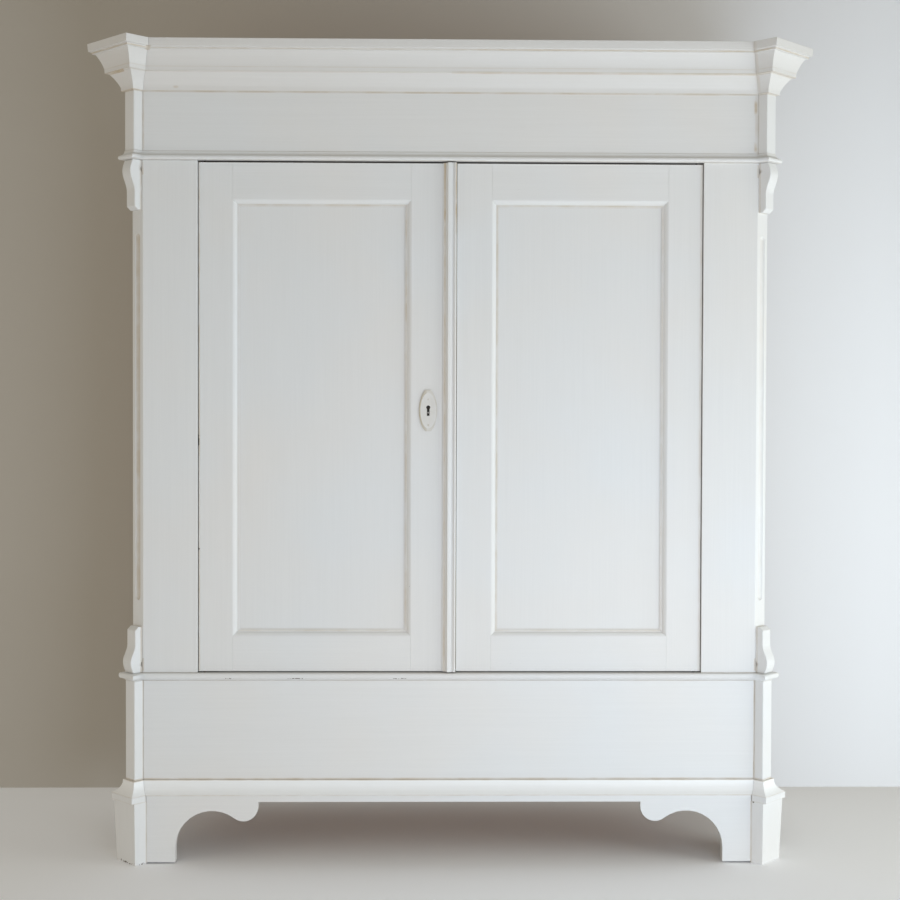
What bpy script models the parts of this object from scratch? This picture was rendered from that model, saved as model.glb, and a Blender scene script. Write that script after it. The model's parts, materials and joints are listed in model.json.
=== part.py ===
"""A painted two-door wardrobe with canted corners, sunk-panel doors and a deep cornice.

Metres, +Z up. The doors face -Y, +X is to the right of someone who looks at them, and the origin is
on the floor under the middle. Every piece is drawn from the face plane, the front of the fixed boards,
which an empty sets at its place: x is across, y is the depth behind the face, z is the height.
"""

import math

import bmesh
import bpy
from mathutils import Matrix, Vector

# Clearances
FIT = 0.0003  # between pieces that touch
SLIDE = 0.0006  # round a bolt in its groove
PIN_CLEARANCE = 0.0003  # round a pivot pin in its hole

# Heights of the stack, from the floor up
PLINTH_HEIGHT = 0.1633
BASE_MOULDING_HEIGHT = 0.0317
BASE_BOARD_HEIGHT = 0.238
LOWER_LEDGE_THICKNESS = 0.0179
BODY_HEIGHT = 1.2181
UPPER_LEDGE_THICKNESS = 0.021
FRIEZE_HEIGHT = 0.1406
CORNICE_HEIGHT = 0.1114

# Plan
BODY_HALF_WIDTH = 0.7605  # to the outside of a side panel
BODY_DEPTH = 0.520  # face plane to the outside of the back
CANT = 0.030  # the corner is cut back by this much on each side
BLOCK_STEP = 0.0175  # a corner block stands this much before the front's end, across and forwards
BLOCK_SIDE_STEP = 0.0135  # and this much before the side
CORNER_STILE = 0.159  # width of the fixed stile beside a door, cant included
BOARD = 0.022  # thickness of the carcass boards
BACK_BOARD = 0.012
BACK_BOARD_COUNT = 3
POST_DEPTH = 0.050  # depth of a corner stile beside the cant
FRAME_RAIL = 0.050  # how deep the moulded frames run behind the face
FRAME_SIDE = 0.057  # and how wide their side pieces are, inside the body's width
EDGE_EASE = 0.0012  # the worn, painted arris of every board
MOULDING_EASE = 0.0006  # and of a moulding

# Mouldings: how far each stands out from the boards
CORNICE_OUT = 0.063
CORNICE_FOOT_OUT = 0.0065
CORNICE_FOOT_RISE = 0.008  # height of the flat at the foot
CORNICE_LOWER_OUT = 0.028
CORNICE_FILLET_OUT = 0.034
CORNICE_UPPER_OUT = 0.050
CORNICE_STEP_OUT = 0.0555  # the small step under the flat band
CORNICE_LOWER_RISE = 0.0334  # height of the lower hollow
CORNICE_FILLET_RISE = 0.010
CORNICE_STEP_RISE = 0.006
CORNICE_FASCIA = 0.0185  # height of the flat band at the top
MEMBER_LEAN = 0.0005  # how far a hollow starts before the flat that it leaves
FASCIA_LEAN = 0.0015  # how far the flat band leans outwards
LEDGE_OUT = 0.0118
LEDGE_NOSE = 0.0135  # height of the lower ledge's round nose
UPPER_NOSE = 0.0105
NOSE_ROUND = 0.0035  # how much the nose curves back at its edges
LEDGE_HOLLOW_OUT = 0.0065  # how far out the hollow beside the nose reaches
LEDGE_FOOT_OUT = 0.0008  # and where it starts
LEDGE_SWEEP = 70  # degrees of its curve
BASE_OUT = 0.024
BASE_TOP_OUT = 0.005
BASE_FLAT_TOP = 0.003  # height of the flat above the base moulding's hollow
BASE_FLAT_LOW = 0.001  # and below it
BASE_SWEEP = 60
HOLLOW_LEAN = 25  # degrees from upright at which the cornice's hollows start
HOLLOW_SWEEP = 25
CURVE_STEPS = 6

# Plinth
APRON_THICKNESS = 0.022
APRON_EDGE = 0.1473  # height of its straight lower edge
LOBE_RADIUS = 0.035
LOBE_LOW = 0.101  # height of the lobe's lowest point
ARCH_RADIUS = 0.0875
ARCH_TOP = 0.126
FRONT_LEG = 0.068  # width of the front apron's legs beside a foot
APRON_CLEAR = 0.004  # and how far they end above the floor
SIDE_LEG = 0.070  # width of a side apron's legs
FOOT_REACH = (0.0445, 0.040)  # from the cant's middle to the foot's inner and outer ridge
FOOT_OUT = 0.041  # from the cant to the foot's face
FOOT_TAPER = 0.005
FOOT_CAP = 0.015  # height of the wider top
FOOT_INSIDE = 0.066  # how far the block reaches back behind the apron

# Crown and floor
TOP_BOARD = 0.012
FLOOR_BOARD = 0.018

# Inside
SHELF_THICKNESS = 0.018
SHELF_BELOW_TOP = 0.1925  # from the upper ledge's underside to the shelf's top
SHELF_FRONT = 0.060
BEARER_THICKNESS = 0.020
BEARER_HEIGHT = 0.085
RAIL_RADIUS = 0.0125
RAIL_DROP = 0.045  # from the shelf's underside to the rail's axis
RAIL_DEPTH = 0.270  # from the face to the rail's axis

# Corner stile flute and the brackets at its ends
FLUTE_WIDTH = 0.020
FLUTE_DEPTH = 0.006
FLUTE_LENGTH = 0.877
FLUTE_BELOW_TOP = 0.171
CONSOLE_WIDTH = 0.034
UPPER_CONSOLE = 0.118  # its height
LOWER_CONSOLE = 0.110
CONSOLE_THIN = 0.0195  # how far it stands out at the thin end
CONSOLE_BULGE = 0.032  # where it swells
CONSOLE_ROOT = 0.0245  # and at the ledge
CONSOLE_CHAMFER = 0.010  # how far the thin end slopes back
CONSOLE_TIP = 0.008  # height of that slope
CONSOLE_NECK = 0.043  # where the thin part ends, from the tip
CONSOLE_CREST = 0.026  # where it stands out most, from the ledge
SCROLL_START = 0.007  # the hollow behind the swelling, from the ledge
SCROLL_LENGTH = 0.026
SCROLL_DEPTH = 0.006
CONSOLE_EASE = 0.0016

# Doors
DOOR_THICKNESS = 0.024
DOOR_SETBACK = 0.005
DOOR_SIDE_GAP = 0.002
DOOR_TOP_GAP = 0.0035
DOOR_BOTTOM_GAP = 0.003
MEETING_X = 0.0131
MEETING_GAP = 0.0024
HINGE_STILE = 0.081
RIGHT_MEETING_STILE = 0.0832
LEFT_MEETING_STILE = 0.106
TOP_RAIL = 0.0875
BOTTOM_RAIL = 0.0841
STUCK_WIDTH = 0.0155  # the moulding worked on the frame's inner edge
STUCK_ROUND = 0.0095  # where its round ends and its flat foot starts
STUCK_TILTS = (15, 65)  # how steep the round is at its two ends, in degrees
STUCK_QUIRK = 0.0004  # depth of the small step that it starts with
STUCK_START = 0.0005  # and its width
FRAME_EASE = 0.0008
PANEL_RECESS = 0.010
PANEL_THICKNESS = 0.008
PANEL_PLAY = 0.0025  # at each edge of the panel
LIP_WIDTH = 0.010  # of the frame behind the panel
STRIP_WIDTH = 0.030
STRIP_HEIGHT = 0.014
STRIP_EDGE = 0.003  # height of its left edge
STRIP_BEAD = 0.0058  # width of the bead along its right edge
STRIP_CREST = 0.0068  # width of the flat
STRIP_GROOVE = 0.0068  # width of the groove between the flat and the bead
STRIP_GROOVE_DEPTH = 0.0035
STRIP_EASE = 0.0004
PIVOT_INSET = 0.014  # from the hinge edge to the pin's axis
PIVOT_DEPTH = 0.006  # from the door's front to the pin's axis
PIVOT_RADIUS = 0.003
PIVOT_REACH = 0.010  # how far a pin goes into the ledge
PIVOT_PLATE = (0.042, 0.015, 0.003)
PIVOT_PLATE_INSET = 0.004  # from the hinge edge to the plate
PIVOT_PLATE_FRONT = 0.0048  # from the pin's axis forwards to the plate's edge
COLLAR_RADIUS = 0.0045
CYLINDER_SIDES = 24

# Lock, on the left door
LOCK_X = -0.0535
LOCK_HEIGHT = 1.077
ESCUTCHEON_LENGTH = 0.098
ESCUTCHEON_WIDTH = 0.0435
ESCUTCHEON_TIP = 0.014  # width of its cut-off ends
ESCUTCHEON_THICKNESS = 0.0028
ESCUTCHEON_BEVEL = 0.0012
ESCUTCHEON_FULLNESS = 0.8  # below 1 its long edges are fuller
KEYHOLE_RADIUS = 0.0048
KEYHOLE_SLOT = 0.0062
KEYHOLE_LENGTH = 0.025
LOCK_CASE = (0.090, 0.0125, 0.092)
LOCK_EDGE = 0.0006  # from the door's edge to the case
BOLT_LENGTH = 0.052
BOLT_SECTION = (0.006, 0.014)
BOLT_RECESS = 0.001  # its end lies this far inside the door's edge
BOLT_TRAVEL = 0.010
BOLT_MORTISE = 0.0095

# Bolts let into the right door's meeting edge
EDGE_BOLT = (0.0045, 0.010, 0.125)
EDGE_BOLT_FRONT = 0.007  # from the door's front to the bolt
EDGE_BOLT_TRAVEL = 0.014
EDGE_BOLT_RECESS = 0.0005
EDGE_KNOB = 0.0012  # how far the finger piece stands out of the bolt
EDGE_KNOB_PLACE = 0.8  # along the bolt, as a share of its length
IRON_EASE = 0.0005

PAINT = (0.82, 0.82, 0.80, 1.0)
PINE = (0.48, 0.33, 0.19, 1.0)
IRON = (0.16, 0.14, 0.13, 1.0)

# Places that follow from the sizes above
FRONT_HALF_WIDTH = BODY_HALF_WIDTH - CANT
OPENING_HALF_WIDTH = BODY_HALF_WIDTH - CORNER_STILE
INNER_HALF_WIDTH = BODY_HALF_WIDTH - BOARD
BLOCK_BACK = CANT - 2 * (BLOCK_STEP - BLOCK_SIDE_STEP)  # where a block ends on the side
BACK_INSIDE = BODY_DEPTH - BACK_BOARD
BASE_TOP = PLINTH_HEIGHT + BASE_MOULDING_HEIGHT
LEDGE_UNDER = BASE_TOP + BASE_BOARD_HEIGHT
LEDGE_TOP = LEDGE_UNDER + LOWER_LEDGE_THICKNESS
CROWN_UNDER = LEDGE_TOP + BODY_HEIGHT
FRIEZE_LOW = CROWN_UNDER + UPPER_LEDGE_THICKNESS
FRIEZE_TOP = FRIEZE_LOW + FRIEZE_HEIGHT
TOTAL_HEIGHT = FRIEZE_TOP + CORNICE_HEIGHT
CROWN_BOARD_TOP = TOTAL_HEIGHT - TOP_BOARD
SHELF_UNDER = CROWN_UNDER - SHELF_BELOW_TOP - SHELF_THICKNESS
RAIL_HEIGHT = SHELF_UNDER - RAIL_DROP
DOOR_LOW = LEDGE_TOP + DOOR_BOTTOM_GAP
DOOR_HIGH = CROWN_UNDER - DOOR_TOP_GAP
DOOR_BACK = DOOR_SETBACK + DOOR_THICKNESS
PANEL_LOW = DOOR_LOW + BOTTOM_RAIL
PANEL_HIGH = DOOR_HIGH - TOP_RAIL
HINGE_EDGE = OPENING_HALF_WIDTH - DOOR_SIDE_GAP
PIVOT_X = HINGE_EDGE - PIVOT_INSET
PIVOT_Y = DOOR_SETBACK + PIVOT_DEPTH
LEFT_EDGE = MEETING_X - MEETING_GAP / 2  # the left door's meeting edge
RIGHT_EDGE = MEETING_X + MEETING_GAP / 2  # and the right door's
HALF_ANGLE = math.tan(math.radians(22.5))
DIAGONAL = math.sqrt(0.5)
FORWARD_REACH = BLOCK_STEP + CORNICE_OUT / DIAGONAL
FACE_Y = (FORWARD_REACH - BODY_DEPTH) / 2  # so that the origin is under the middle of the whole
CANT_MIDDLE = Vector((FRONT_HALF_WIDTH + CANT / 2, CANT / 2))


# Scene helpers


def clear_scene():
    for old in list(bpy.data.objects):
        bpy.data.objects.remove(old, do_unlink=True)


def new_collection(name):
    group = bpy.data.collections.new(name)
    bpy.context.scene.collection.children.link(group)
    return group


def new_material(name, colour, roughness, metallic=0.0):
    material = bpy.data.materials.new(name)
    material.use_nodes = True
    shader = material.node_tree.nodes["Principled BSDF"]
    shader.inputs["Base Color"].default_value = colour
    shader.inputs["Roughness"].default_value = roughness
    shader.inputs["Metallic"].default_value = metallic
    material.diffuse_color = colour
    return material


def new_empty(name, place, parent=None):
    empty = bpy.data.objects.new(name, None)
    empty.empty_display_size = 0.05
    empty.location = place
    empty.parent = parent
    PARTS.objects.link(empty)
    return empty


def finish(name, work, finish_name, parent):
    """Makes a bmesh drawn from the face plane into a piece that hangs on one of the empties."""
    bmesh.ops.recalc_face_normals(work, faces=work.faces)
    mesh = bpy.data.meshes.new(name)
    work.to_mesh(mesh)
    work.free()
    mesh.shade_smooth()
    mesh.set_sharp_from_angle(angle=math.radians(35))
    piece = bpy.data.objects.new(name, mesh)
    if finish_name is None:
        CUTTERS.objects.link(piece)
        piece.hide_render = True
        piece.display_type = "WIRE"
    else:
        PARTS.objects.link(piece)
        mesh.materials.append(MATERIALS[finish_name])
    piece.parent = parent
    piece.location = -axis_of(parent)
    return piece


def axis_of(parent):
    """Where an empty stands, measured from the face plane."""
    return Vector((0, 0, 0)) if parent is FACE else Vector(parent.location)


def ease(piece, width=EDGE_EASE, segments=1, angle=35):
    bevel = piece.modifiers.new("eased_edges", "BEVEL")
    bevel.width = width
    bevel.segments = segments
    bevel.limit_method = "ANGLE"
    bevel.angle_limit = math.radians(angle)
    return piece


def boolean(piece, other, operation="DIFFERENCE"):
    for solid in (piece, other):
        solid.data.shade_flat()
    step = piece.modifiers.new(other.name, "BOOLEAN")
    step.operation = operation
    step.object = other
    return piece


# Shape helpers


def cube_mesh(low, high):
    low, high = Vector(low), Vector(high)
    work = bmesh.new()
    bmesh.ops.create_cube(work, size=1.0)
    bmesh.ops.scale(work, vec=high - low, verts=work.verts)
    bmesh.ops.translate(work, vec=(low + high) / 2, verts=work.verts)
    return work


def board(name, low, high, finish_name, parent, eased=EDGE_EASE):
    piece = finish(name, cube_mesh(low, high), finish_name, parent)
    return ease(piece, eased) if eased else piece


def cutter(name, low, high, parent):
    return finish(name, cube_mesh(low, high), None, parent)


def rod_mesh(start, end, radius):
    """A round bar from one point to another."""
    start, end = Vector(start), Vector(end)
    work = bmesh.new()
    bmesh.ops.create_cone(
        work,
        cap_ends=True,
        segments=CYLINDER_SIDES,
        radius1=radius,
        radius2=radius,
        depth=(end - start).length,
        matrix=Matrix.Translation((start + end) / 2)
        @ Vector((0, 0, 1)).rotation_difference(end - start).to_matrix().to_4x4(),
    )
    return work


def loft_mesh(rings):
    """A closed solid through rings of as many points each, with a flat cap at both ends."""
    work = bmesh.new()
    rows = [[work.verts.new(point) for point in ring] for ring in rings]
    for lower, upper in zip(rows, rows[1:]):
        for i, corner in enumerate(lower):
            j = (i + 1) % len(lower)
            work.faces.new((corner, lower[j], upper[j], upper[i]))
    work.faces.new(rows[0])
    work.faces.new(rows[-1])
    # Where two rings share a point, the face between them there has no area.
    bmesh.ops.remove_doubles(work, verts=work.verts, dist=1e-6)
    return work


def prism_mesh(outline, start, end, across="Z"):
    """A flat outline made thick along Z, along Y (drawn in x and z) or along X (drawn in y and z)."""
    curve = bpy.data.curves.new("outline", "CURVE")
    curve.dimensions = "2D"
    curve.fill_mode = "BOTH"
    curve.extrude = (end - start) / 2
    spline = curve.splines.new("POLY")
    spline.points.add(len(outline) - 1)
    for point, (u, v) in zip(spline.points, outline):
        point.co = (u, v, 0, 1)
    spline.use_cyclic_u = True
    flat = bpy.data.objects.new("outline", curve)
    PARTS.objects.link(flat)
    graph = bpy.context.evaluated_depsgraph_get()
    mesh = bpy.data.meshes.new_from_object(flat.evaluated_get(graph))
    work = bmesh.new()
    work.from_mesh(mesh)
    bmesh.ops.remove_doubles(work, verts=work.verts, dist=1e-5)
    turn = {
        "Z": Matrix.Identity(3),
        "Y": Matrix(((1, 0, 0), (0, 0, -1), (0, 1, 0))),
        "X": Matrix(((0, 0, 1), (1, 0, 0), (0, 1, 0))),
    }[across]
    middle = (start + end) / 2
    shift = {"Z": (0, 0, middle), "Y": (0, middle, 0), "X": (middle, 0, 0)}[across]
    bmesh.ops.transform(work, matrix=Matrix.Translation(shift) @ turn.to_4x4(), verts=work.verts)
    bpy.data.objects.remove(flat, do_unlink=True)
    bpy.data.curves.remove(curve)
    bpy.data.meshes.remove(mesh)
    return work


def sided(points, side):
    """The right-hand drawing of a plan, or for side -1 its mirror image."""
    return [(side * x, y) for x, y in points]


def at_height(points, z):
    return [(x, y, z) for x, y in points]


def hollow(start, end, sweep=HOLLOW_SWEEP, lean=HOLLOW_LEAN):
    """Points of a concave curve that leans out from its start by `lean` and bends further to its end."""
    points = []
    first, last = math.radians(lean), math.radians(lean + sweep)
    for i in range(CURVE_STEPS + 1):
        angle = first + (last - first) * i / CURVE_STEPS
        out_share = (math.cos(first) - math.cos(angle)) / (math.cos(first) - math.cos(last))
        up_share = (math.sin(angle) - math.sin(first)) / (math.sin(last) - math.sin(first))
        out = start[0] + (end[0] - start[0]) * out_share
        points.append((out, start[1] + (end[1] - start[1]) * up_share))
    return points


def nose(low, high, out):
    """The round edge of a ledge, from its lower corner to its upper one."""
    points = []
    for i in range(CURVE_STEPS + 1):
        angle = math.pi * i / CURVE_STEPS
        height = low + (high - low) * (1 - math.cos(angle)) / 2
        points.append((out - NOSE_ROUND * (1 - math.sin(angle)), height))
    return points


def arc(centre, radius, start, end, steps=CURVE_STEPS):
    """Points of an arc, both ends included, with its angles in degrees."""
    points = []
    for i in range(steps + 1):
        angle = math.radians(start + (end - start) * i / steps)
        points.append((centre[0] + radius * math.cos(angle), centre[1] + radius * math.sin(angle)))
    return points


def corner_path(out):
    """The plan of an edge that runs round a corner block, `out` before the boards: from the front
    board's end to the block's two ridges and the side board's end."""
    return [
        (FRONT_HALF_WIDTH - out * HALF_ANGLE, -out),
        (FRONT_HALF_WIDTH + BLOCK_STEP, -BLOCK_STEP - out / DIAGONAL),
        (BODY_HALF_WIDTH + BLOCK_SIDE_STEP + out / DIAGONAL, BLOCK_BACK - BLOCK_SIDE_STEP),
        (BODY_HALF_WIDTH + out, BLOCK_BACK + out * HALF_ANGLE),
    ]


def from_cant(out, along):
    """A plan point, so far out from the middle of the cant and so far along it towards the side."""
    return CANT_MIDDLE + Vector((out + along, along - out)) * DIAGONAL


def fits_behind(point):
    """The same place seen from the other side of the corner's diagonal, as the plinth repeats it."""
    return (BODY_HALF_WIDTH - point[1], BODY_HALF_WIDTH - point[0])


# Plinth


def bracket_outline(leg_inside):
    """The front apron's lower edge from the middle to a leg's inside: a lobe, then an arch."""
    arch = (leg_inside - ARCH_RADIUS, ARCH_TOP - ARCH_RADIUS)
    lobe_z = LOBE_LOW + LOBE_RADIUS
    reach = LOBE_RADIUS + ARCH_RADIUS
    lean = math.degrees(math.asin((lobe_z - arch[1]) / reach))
    lobe = (arch[0] - reach * math.cos(math.radians(lean)), lobe_z)
    edge = [(lobe[0] - LOBE_RADIUS, APRON_EDGE)]
    edge += arc(lobe, LOBE_RADIUS, 180, 360 - lean, 2 * CURVE_STEPS)
    edge += arc(arch, ARCH_RADIUS, 180 - lean, 0, 2 * CURVE_STEPS)[1:]
    return edge + [(leg_inside, APRON_CLEAR)]


def foot_plan(taper=0):
    """The foot's four outer corners: where it leaves the aprons, and its two ridges."""
    inner, outer = (reach - taper for reach in FOOT_REACH)
    inner_ridge = from_cant(FOOT_OUT - taper, -inner)
    leaves = inner_ridge.x - (-APRON_THICKNESS - inner_ridge.y)
    first = (leaves, -APRON_THICKNESS)
    outer_ridge = from_cant(FOOT_OUT - taper, outer)
    return [first, tuple(inner_ridge), tuple(outer_ridge), fits_behind(first)]


def make_front_foot(name, side):
    """One block from the floor to the base moulding: a tapered leg under a wider cap."""
    plan = foot_plan()
    low = foot_plan(FOOT_TAPER)
    cap = corner_path(BASE_OUT)
    cap[0] = (max(cap[0][0], plan[0][0]), -BASE_OUT)
    cap[3] = fits_behind(cap[0])
    inside = [
        (BODY_HALF_WIDTH - FIT, plan[3][1]),
        (BODY_HALF_WIDTH - FIT, FOOT_INSIDE),
        (BODY_HALF_WIDTH - FOOT_INSIDE, FOOT_INSIDE),
        (BODY_HALF_WIDTH - FOOT_INSIDE, FIT),
        (plan[0][0], FIT),
    ]
    low[0], low[3] = plan[0], plan[3]
    cap_low = PLINTH_HEIGHT - FOOT_CAP
    levels = [(low, 0), (plan, cap_low), (cap, cap_low), (cap, PLINTH_HEIGHT - FIT)]
    rings = [at_height(sided(corners + inside, side), z) for corners, z in levels]
    ease(finish(name, loft_mesh(rings), "paint", FACE))


def make_plinth():
    plan = foot_plan()
    end = plan[0][0] - FIT
    half = bracket_outline(end - FRONT_LEG) + [(end, APRON_CLEAR), (end, PLINTH_HEIGHT - FIT)]
    outline = half + [(-x, z) for x, z in reversed(half)]
    ease(finish("front_apron", prism_mesh(outline, -APRON_THICKNESS, 0, "Y"), "paint", FACE))
    front = plan[3][1] + FIT
    legs = (front + SIDE_LEG, BODY_DEPTH - SIDE_LEG)
    arch_z = ARCH_TOP - APRON_CLEAR - ARCH_RADIUS
    outline = [(front, PLINTH_HEIGHT - FIT), (front, 0), (legs[0], 0)]
    outline += arc((legs[0] + ARCH_RADIUS, arch_z), ARCH_RADIUS, 180, 90)
    outline += arc((legs[1] - ARCH_RADIUS, arch_z), ARCH_RADIUS, 90, 0)
    outline += [(legs[1], 0), (BODY_DEPTH, 0), (BODY_DEPTH, PLINTH_HEIGHT - FIT)]
    for name, side in SIDES:
        faces = sorted((side * BODY_HALF_WIDTH, side * (BODY_HALF_WIDTH + APRON_THICKNESS)))
        work = prism_mesh(outline, *faces, "X")
        ease(finish(f"side_apron_{name}", work, "paint", FACE))
        make_front_foot(f"front_foot_{name}", side)


# Base box


def make_base_frame():
    """The moulded frame under the base box, in three mitred lengths, and the floor that lies on it."""
    top, low = (BASE_TOP_OUT, BASE_TOP - BASE_FLAT_TOP), (BASE_OUT, PLINTH_HEIGHT + BASE_FLAT_LOW)
    profile = [(BASE_OUT, PLINTH_HEIGHT)]
    profile += reversed(hollow(top, low, BASE_SWEEP, 0))
    profile += [(BASE_TOP_OUT, BASE_TOP)]
    rings = []
    for out, z in profile:
        mitre = FRONT_HALF_WIDTH - out * HALF_ANGLE
        half = [(mitre, -out), (FRONT_HALF_WIDTH, 0), (FRONT_HALF_WIDTH, FRAME_RAIL)]
        rings.append(at_height(half + sided(reversed(half), -1), z))
    ease(finish("base_moulding_front", loft_mesh(rings), "paint", FACE))
    for name, side in SIDES:
        rings = []
        for out, z in profile:
            path = corner_path(out)
            path[0] = (path[0][0] + FIT, path[0][1])
            path += [
                (BODY_HALF_WIDTH + out, BACK_INSIDE - FIT),
                (BODY_HALF_WIDTH - FRAME_SIDE, BACK_INSIDE - FIT),
                (BODY_HALF_WIDTH - FRAME_SIDE, FRAME_RAIL + FIT),
                (FRONT_HALF_WIDTH + FIT, FRAME_RAIL + FIT),
                (FRONT_HALF_WIDTH + FIT, 0),
            ]
            rings.append(at_height(sided(path, side), z))
        ease(finish(f"base_moulding_{name}", loft_mesh(rings), "paint", FACE))
    board(
        "floor_panel",
        (-INNER_HALF_WIDTH + FIT, CANT + FIT, BASE_TOP + FIT),
        (INNER_HALF_WIDTH - FIT, BACK_INSIDE - FIT, BASE_TOP + FIT + FLOOR_BOARD),
        "pine",
        FACE,
    )


def corner_block(name, side, low, high):
    """The proud block that covers a canted corner between two mouldings."""
    inside = FRONT_HALF_WIDTH + FIT
    plan = [(inside, 0)] + corner_path(0)[1:] + [(inside, BLOCK_BACK)]
    ease(finish(name, prism_mesh(sided(plan, side), low, high), "paint", FACE))


def board_box(prefix, low, high):
    """The front board, the side boards and the corner blocks of the base box or of the crown."""
    board(
        f"{prefix}_board" if prefix == "frieze" else f"{prefix}_front_board",
        (-FRONT_HALF_WIDTH, 0, low),
        (FRONT_HALF_WIDTH, BOARD, high),
        "paint",
        FACE,
    )
    for name, side in SIDES:
        faces = sorted((side * INNER_HALF_WIDTH, side * BODY_HALF_WIDTH))
        board(
            f"{prefix}_side_{name}",
            (faces[0], BLOCK_BACK + FIT, low),
            (faces[1], BACK_INSIDE - FIT, high),
            "paint",
            FACE,
        )
        corner_block(f"{prefix}_corner_block_{name}", side, low, high)


def make_ledge(name, profile):
    """A moulded frame that runs round the front and both sides, open towards the back."""
    rings = []
    for out, z in profile:
        half = corner_path(out) + [
            (BODY_HALF_WIDTH + out, BACK_INSIDE - FIT),
            (BODY_HALF_WIDTH - FRAME_SIDE, BACK_INSIDE - FIT),
            (BODY_HALF_WIDTH - FRAME_SIDE, FRAME_RAIL),
        ]
        rings.append(at_height(half + sided(reversed(half), -1), z))
    return finish(name, loft_mesh(rings), "paint", FACE)


def make_base_box():
    make_base_frame()
    board_box("base", BASE_TOP + FIT, LEDGE_UNDER - FIT)
    nose_low = LEDGE_TOP - LEDGE_NOSE
    profile = hollow((LEDGE_FOOT_OUT, LEDGE_UNDER), (LEDGE_HOLLOW_OUT, nose_low - FIT), LEDGE_SWEEP, 0)
    profile += nose(nose_low, LEDGE_TOP, LEDGE_OUT)
    return make_ledge("lower_ledge", profile)


# Body


def make_corner_stile(name, side):
    """The fixed stile beside a door, with the fluted cant worked on its outer corner."""
    plan = [
        (OPENING_HALF_WIDTH, 0),
        (FRONT_HALF_WIDTH, 0),
        (BODY_HALF_WIDTH, CANT),
        (BODY_HALF_WIDTH, POST_DEPTH),
        (INNER_HALF_WIDTH, POST_DEPTH),
        (INNER_HALF_WIDTH, BOARD),
        (OPENING_HALF_WIDTH, BOARD),
    ]
    work = prism_mesh(sided(plan, side), LEDGE_TOP + FIT, CROWN_UNDER - FIT)
    stile = finish(name, work, "paint", FACE)
    ease(stile)
    radius = ((FLUTE_WIDTH / 2) ** 2 + FLUTE_DEPTH**2) / (2 * FLUTE_DEPTH)
    centre = from_cant(radius - FLUTE_DEPTH, 0)
    top = CROWN_UNDER - FLUTE_BELOW_TOP
    work = capsule_mesh((side * centre.x, centre.y, top - FLUTE_LENGTH), FLUTE_LENGTH, radius)
    return boolean(stile, finish(f"{name}_flute", work, None, FACE))


def capsule_mesh(foot, length, radius):
    """A round bar with domed ends, upright on the given foot, as a swept profile."""
    work = bmesh.new()
    half = arc((0, radius), radius, -90, 0) + arc((0, length - radius), radius, 0, 90)
    verts = [work.verts.new((x, 0, z)) for x, z in half]
    edges = [work.edges.new(pair) for pair in zip(verts, verts[1:])]
    bmesh.ops.spin(
        work,
        geom=verts + edges,
        cent=(0, 0, 0),
        axis=(0, 0, 1),
        angle=2 * math.pi,
        steps=CYLINDER_SIDES,
        use_merge=True,
    )
    bmesh.ops.remove_doubles(work, verts=work.verts, dist=1e-6)
    bmesh.ops.translate(work, vec=foot, verts=work.verts)
    return work


def make_console(name, side, height, end, direction):
    """A sawn S-shaped bracket on the cant: thin at its tip, it swells towards the ledge that it meets."""
    outline = [(FIT, 0), (CONSOLE_THIN - CONSOLE_CHAMFER, 0), (CONSOLE_THIN, CONSOLE_TIP)]
    crest = height - CONSOLE_CREST
    for i in range(2 * CURVE_STEPS + 1):
        share = i / (2 * CURVE_STEPS)
        swell = (CONSOLE_BULGE - CONSOLE_THIN) * (1 - math.cos(math.pi * share)) / 2
        outline.append((CONSOLE_THIN + swell, CONSOLE_NECK + (crest - CONSOLE_NECK) * share))
    for i in range(1, CURVE_STEPS + 1):
        share = i / CURVE_STEPS
        fall = (CONSOLE_BULGE - CONSOLE_ROOT) * (1 - math.cos(math.pi / 2 * share))
        outline.append((CONSOLE_BULGE - fall, crest + CONSOLE_CREST * share))
    outline.append((FIT, height))
    for i in range(2 * CURVE_STEPS + 1):
        share = i / (2 * CURVE_STEPS)
        scroll = FIT + SCROLL_DEPTH * math.sin(math.pi * share)
        outline.append((scroll, height - SCROLL_START - SCROLL_LENGTH * share))
    rings = []
    for along in (-CONSOLE_WIDTH / 2, CONSOLE_WIDTH / 2):
        ring = []
        for out, rise in outline:
            place = from_cant(out, along)
            ring.append((side * place.x, place.y, end + direction * (rise - height)))
        rings.append(ring)
    ease(finish(name, loft_mesh(rings), "paint", FACE), CONSOLE_EASE, 2, 50)


def make_inside():
    """The hat shelf, the side bearers that carry it, and the rail that hangs in them."""
    for name, side in SIDES:
        outside = INNER_HALF_WIDTH - FIT
        faces = sorted((side * outside, side * (outside - BEARER_THICKNESS)))
        bearer = board(
            f"shelf_bearer_{name}",
            (faces[0], SHELF_FRONT, SHELF_UNDER - BEARER_HEIGHT),
            (faces[1], BACK_INSIDE - FIT, SHELF_UNDER - FIT),
            "pine",
            FACE,
        )
        socket = rod_mesh(
            (side * (INNER_HALF_WIDTH + BEARER_THICKNESS), RAIL_DEPTH, RAIL_HEIGHT),
            (side * (INNER_HALF_WIDTH - 2 * BEARER_THICKNESS), RAIL_DEPTH, RAIL_HEIGHT),
            RAIL_RADIUS + FIT,
        )
        boolean(bearer, finish(f"rail_socket_{name}", socket, None, FACE))
    board(
        "hat_shelf",
        (-INNER_HALF_WIDTH + FIT, SHELF_FRONT, SHELF_UNDER),
        (INNER_HALF_WIDTH - FIT, BACK_INSIDE - FIT, SHELF_UNDER + SHELF_THICKNESS),
        "pine",
        FACE,
    )
    reach = INNER_HALF_WIDTH - 2 * FIT
    rail = rod_mesh((-reach, RAIL_DEPTH, RAIL_HEIGHT), (reach, RAIL_DEPTH, RAIL_HEIGHT), RAIL_RADIUS)
    finish("hanging_rail", rail, "pine", FACE)


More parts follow.
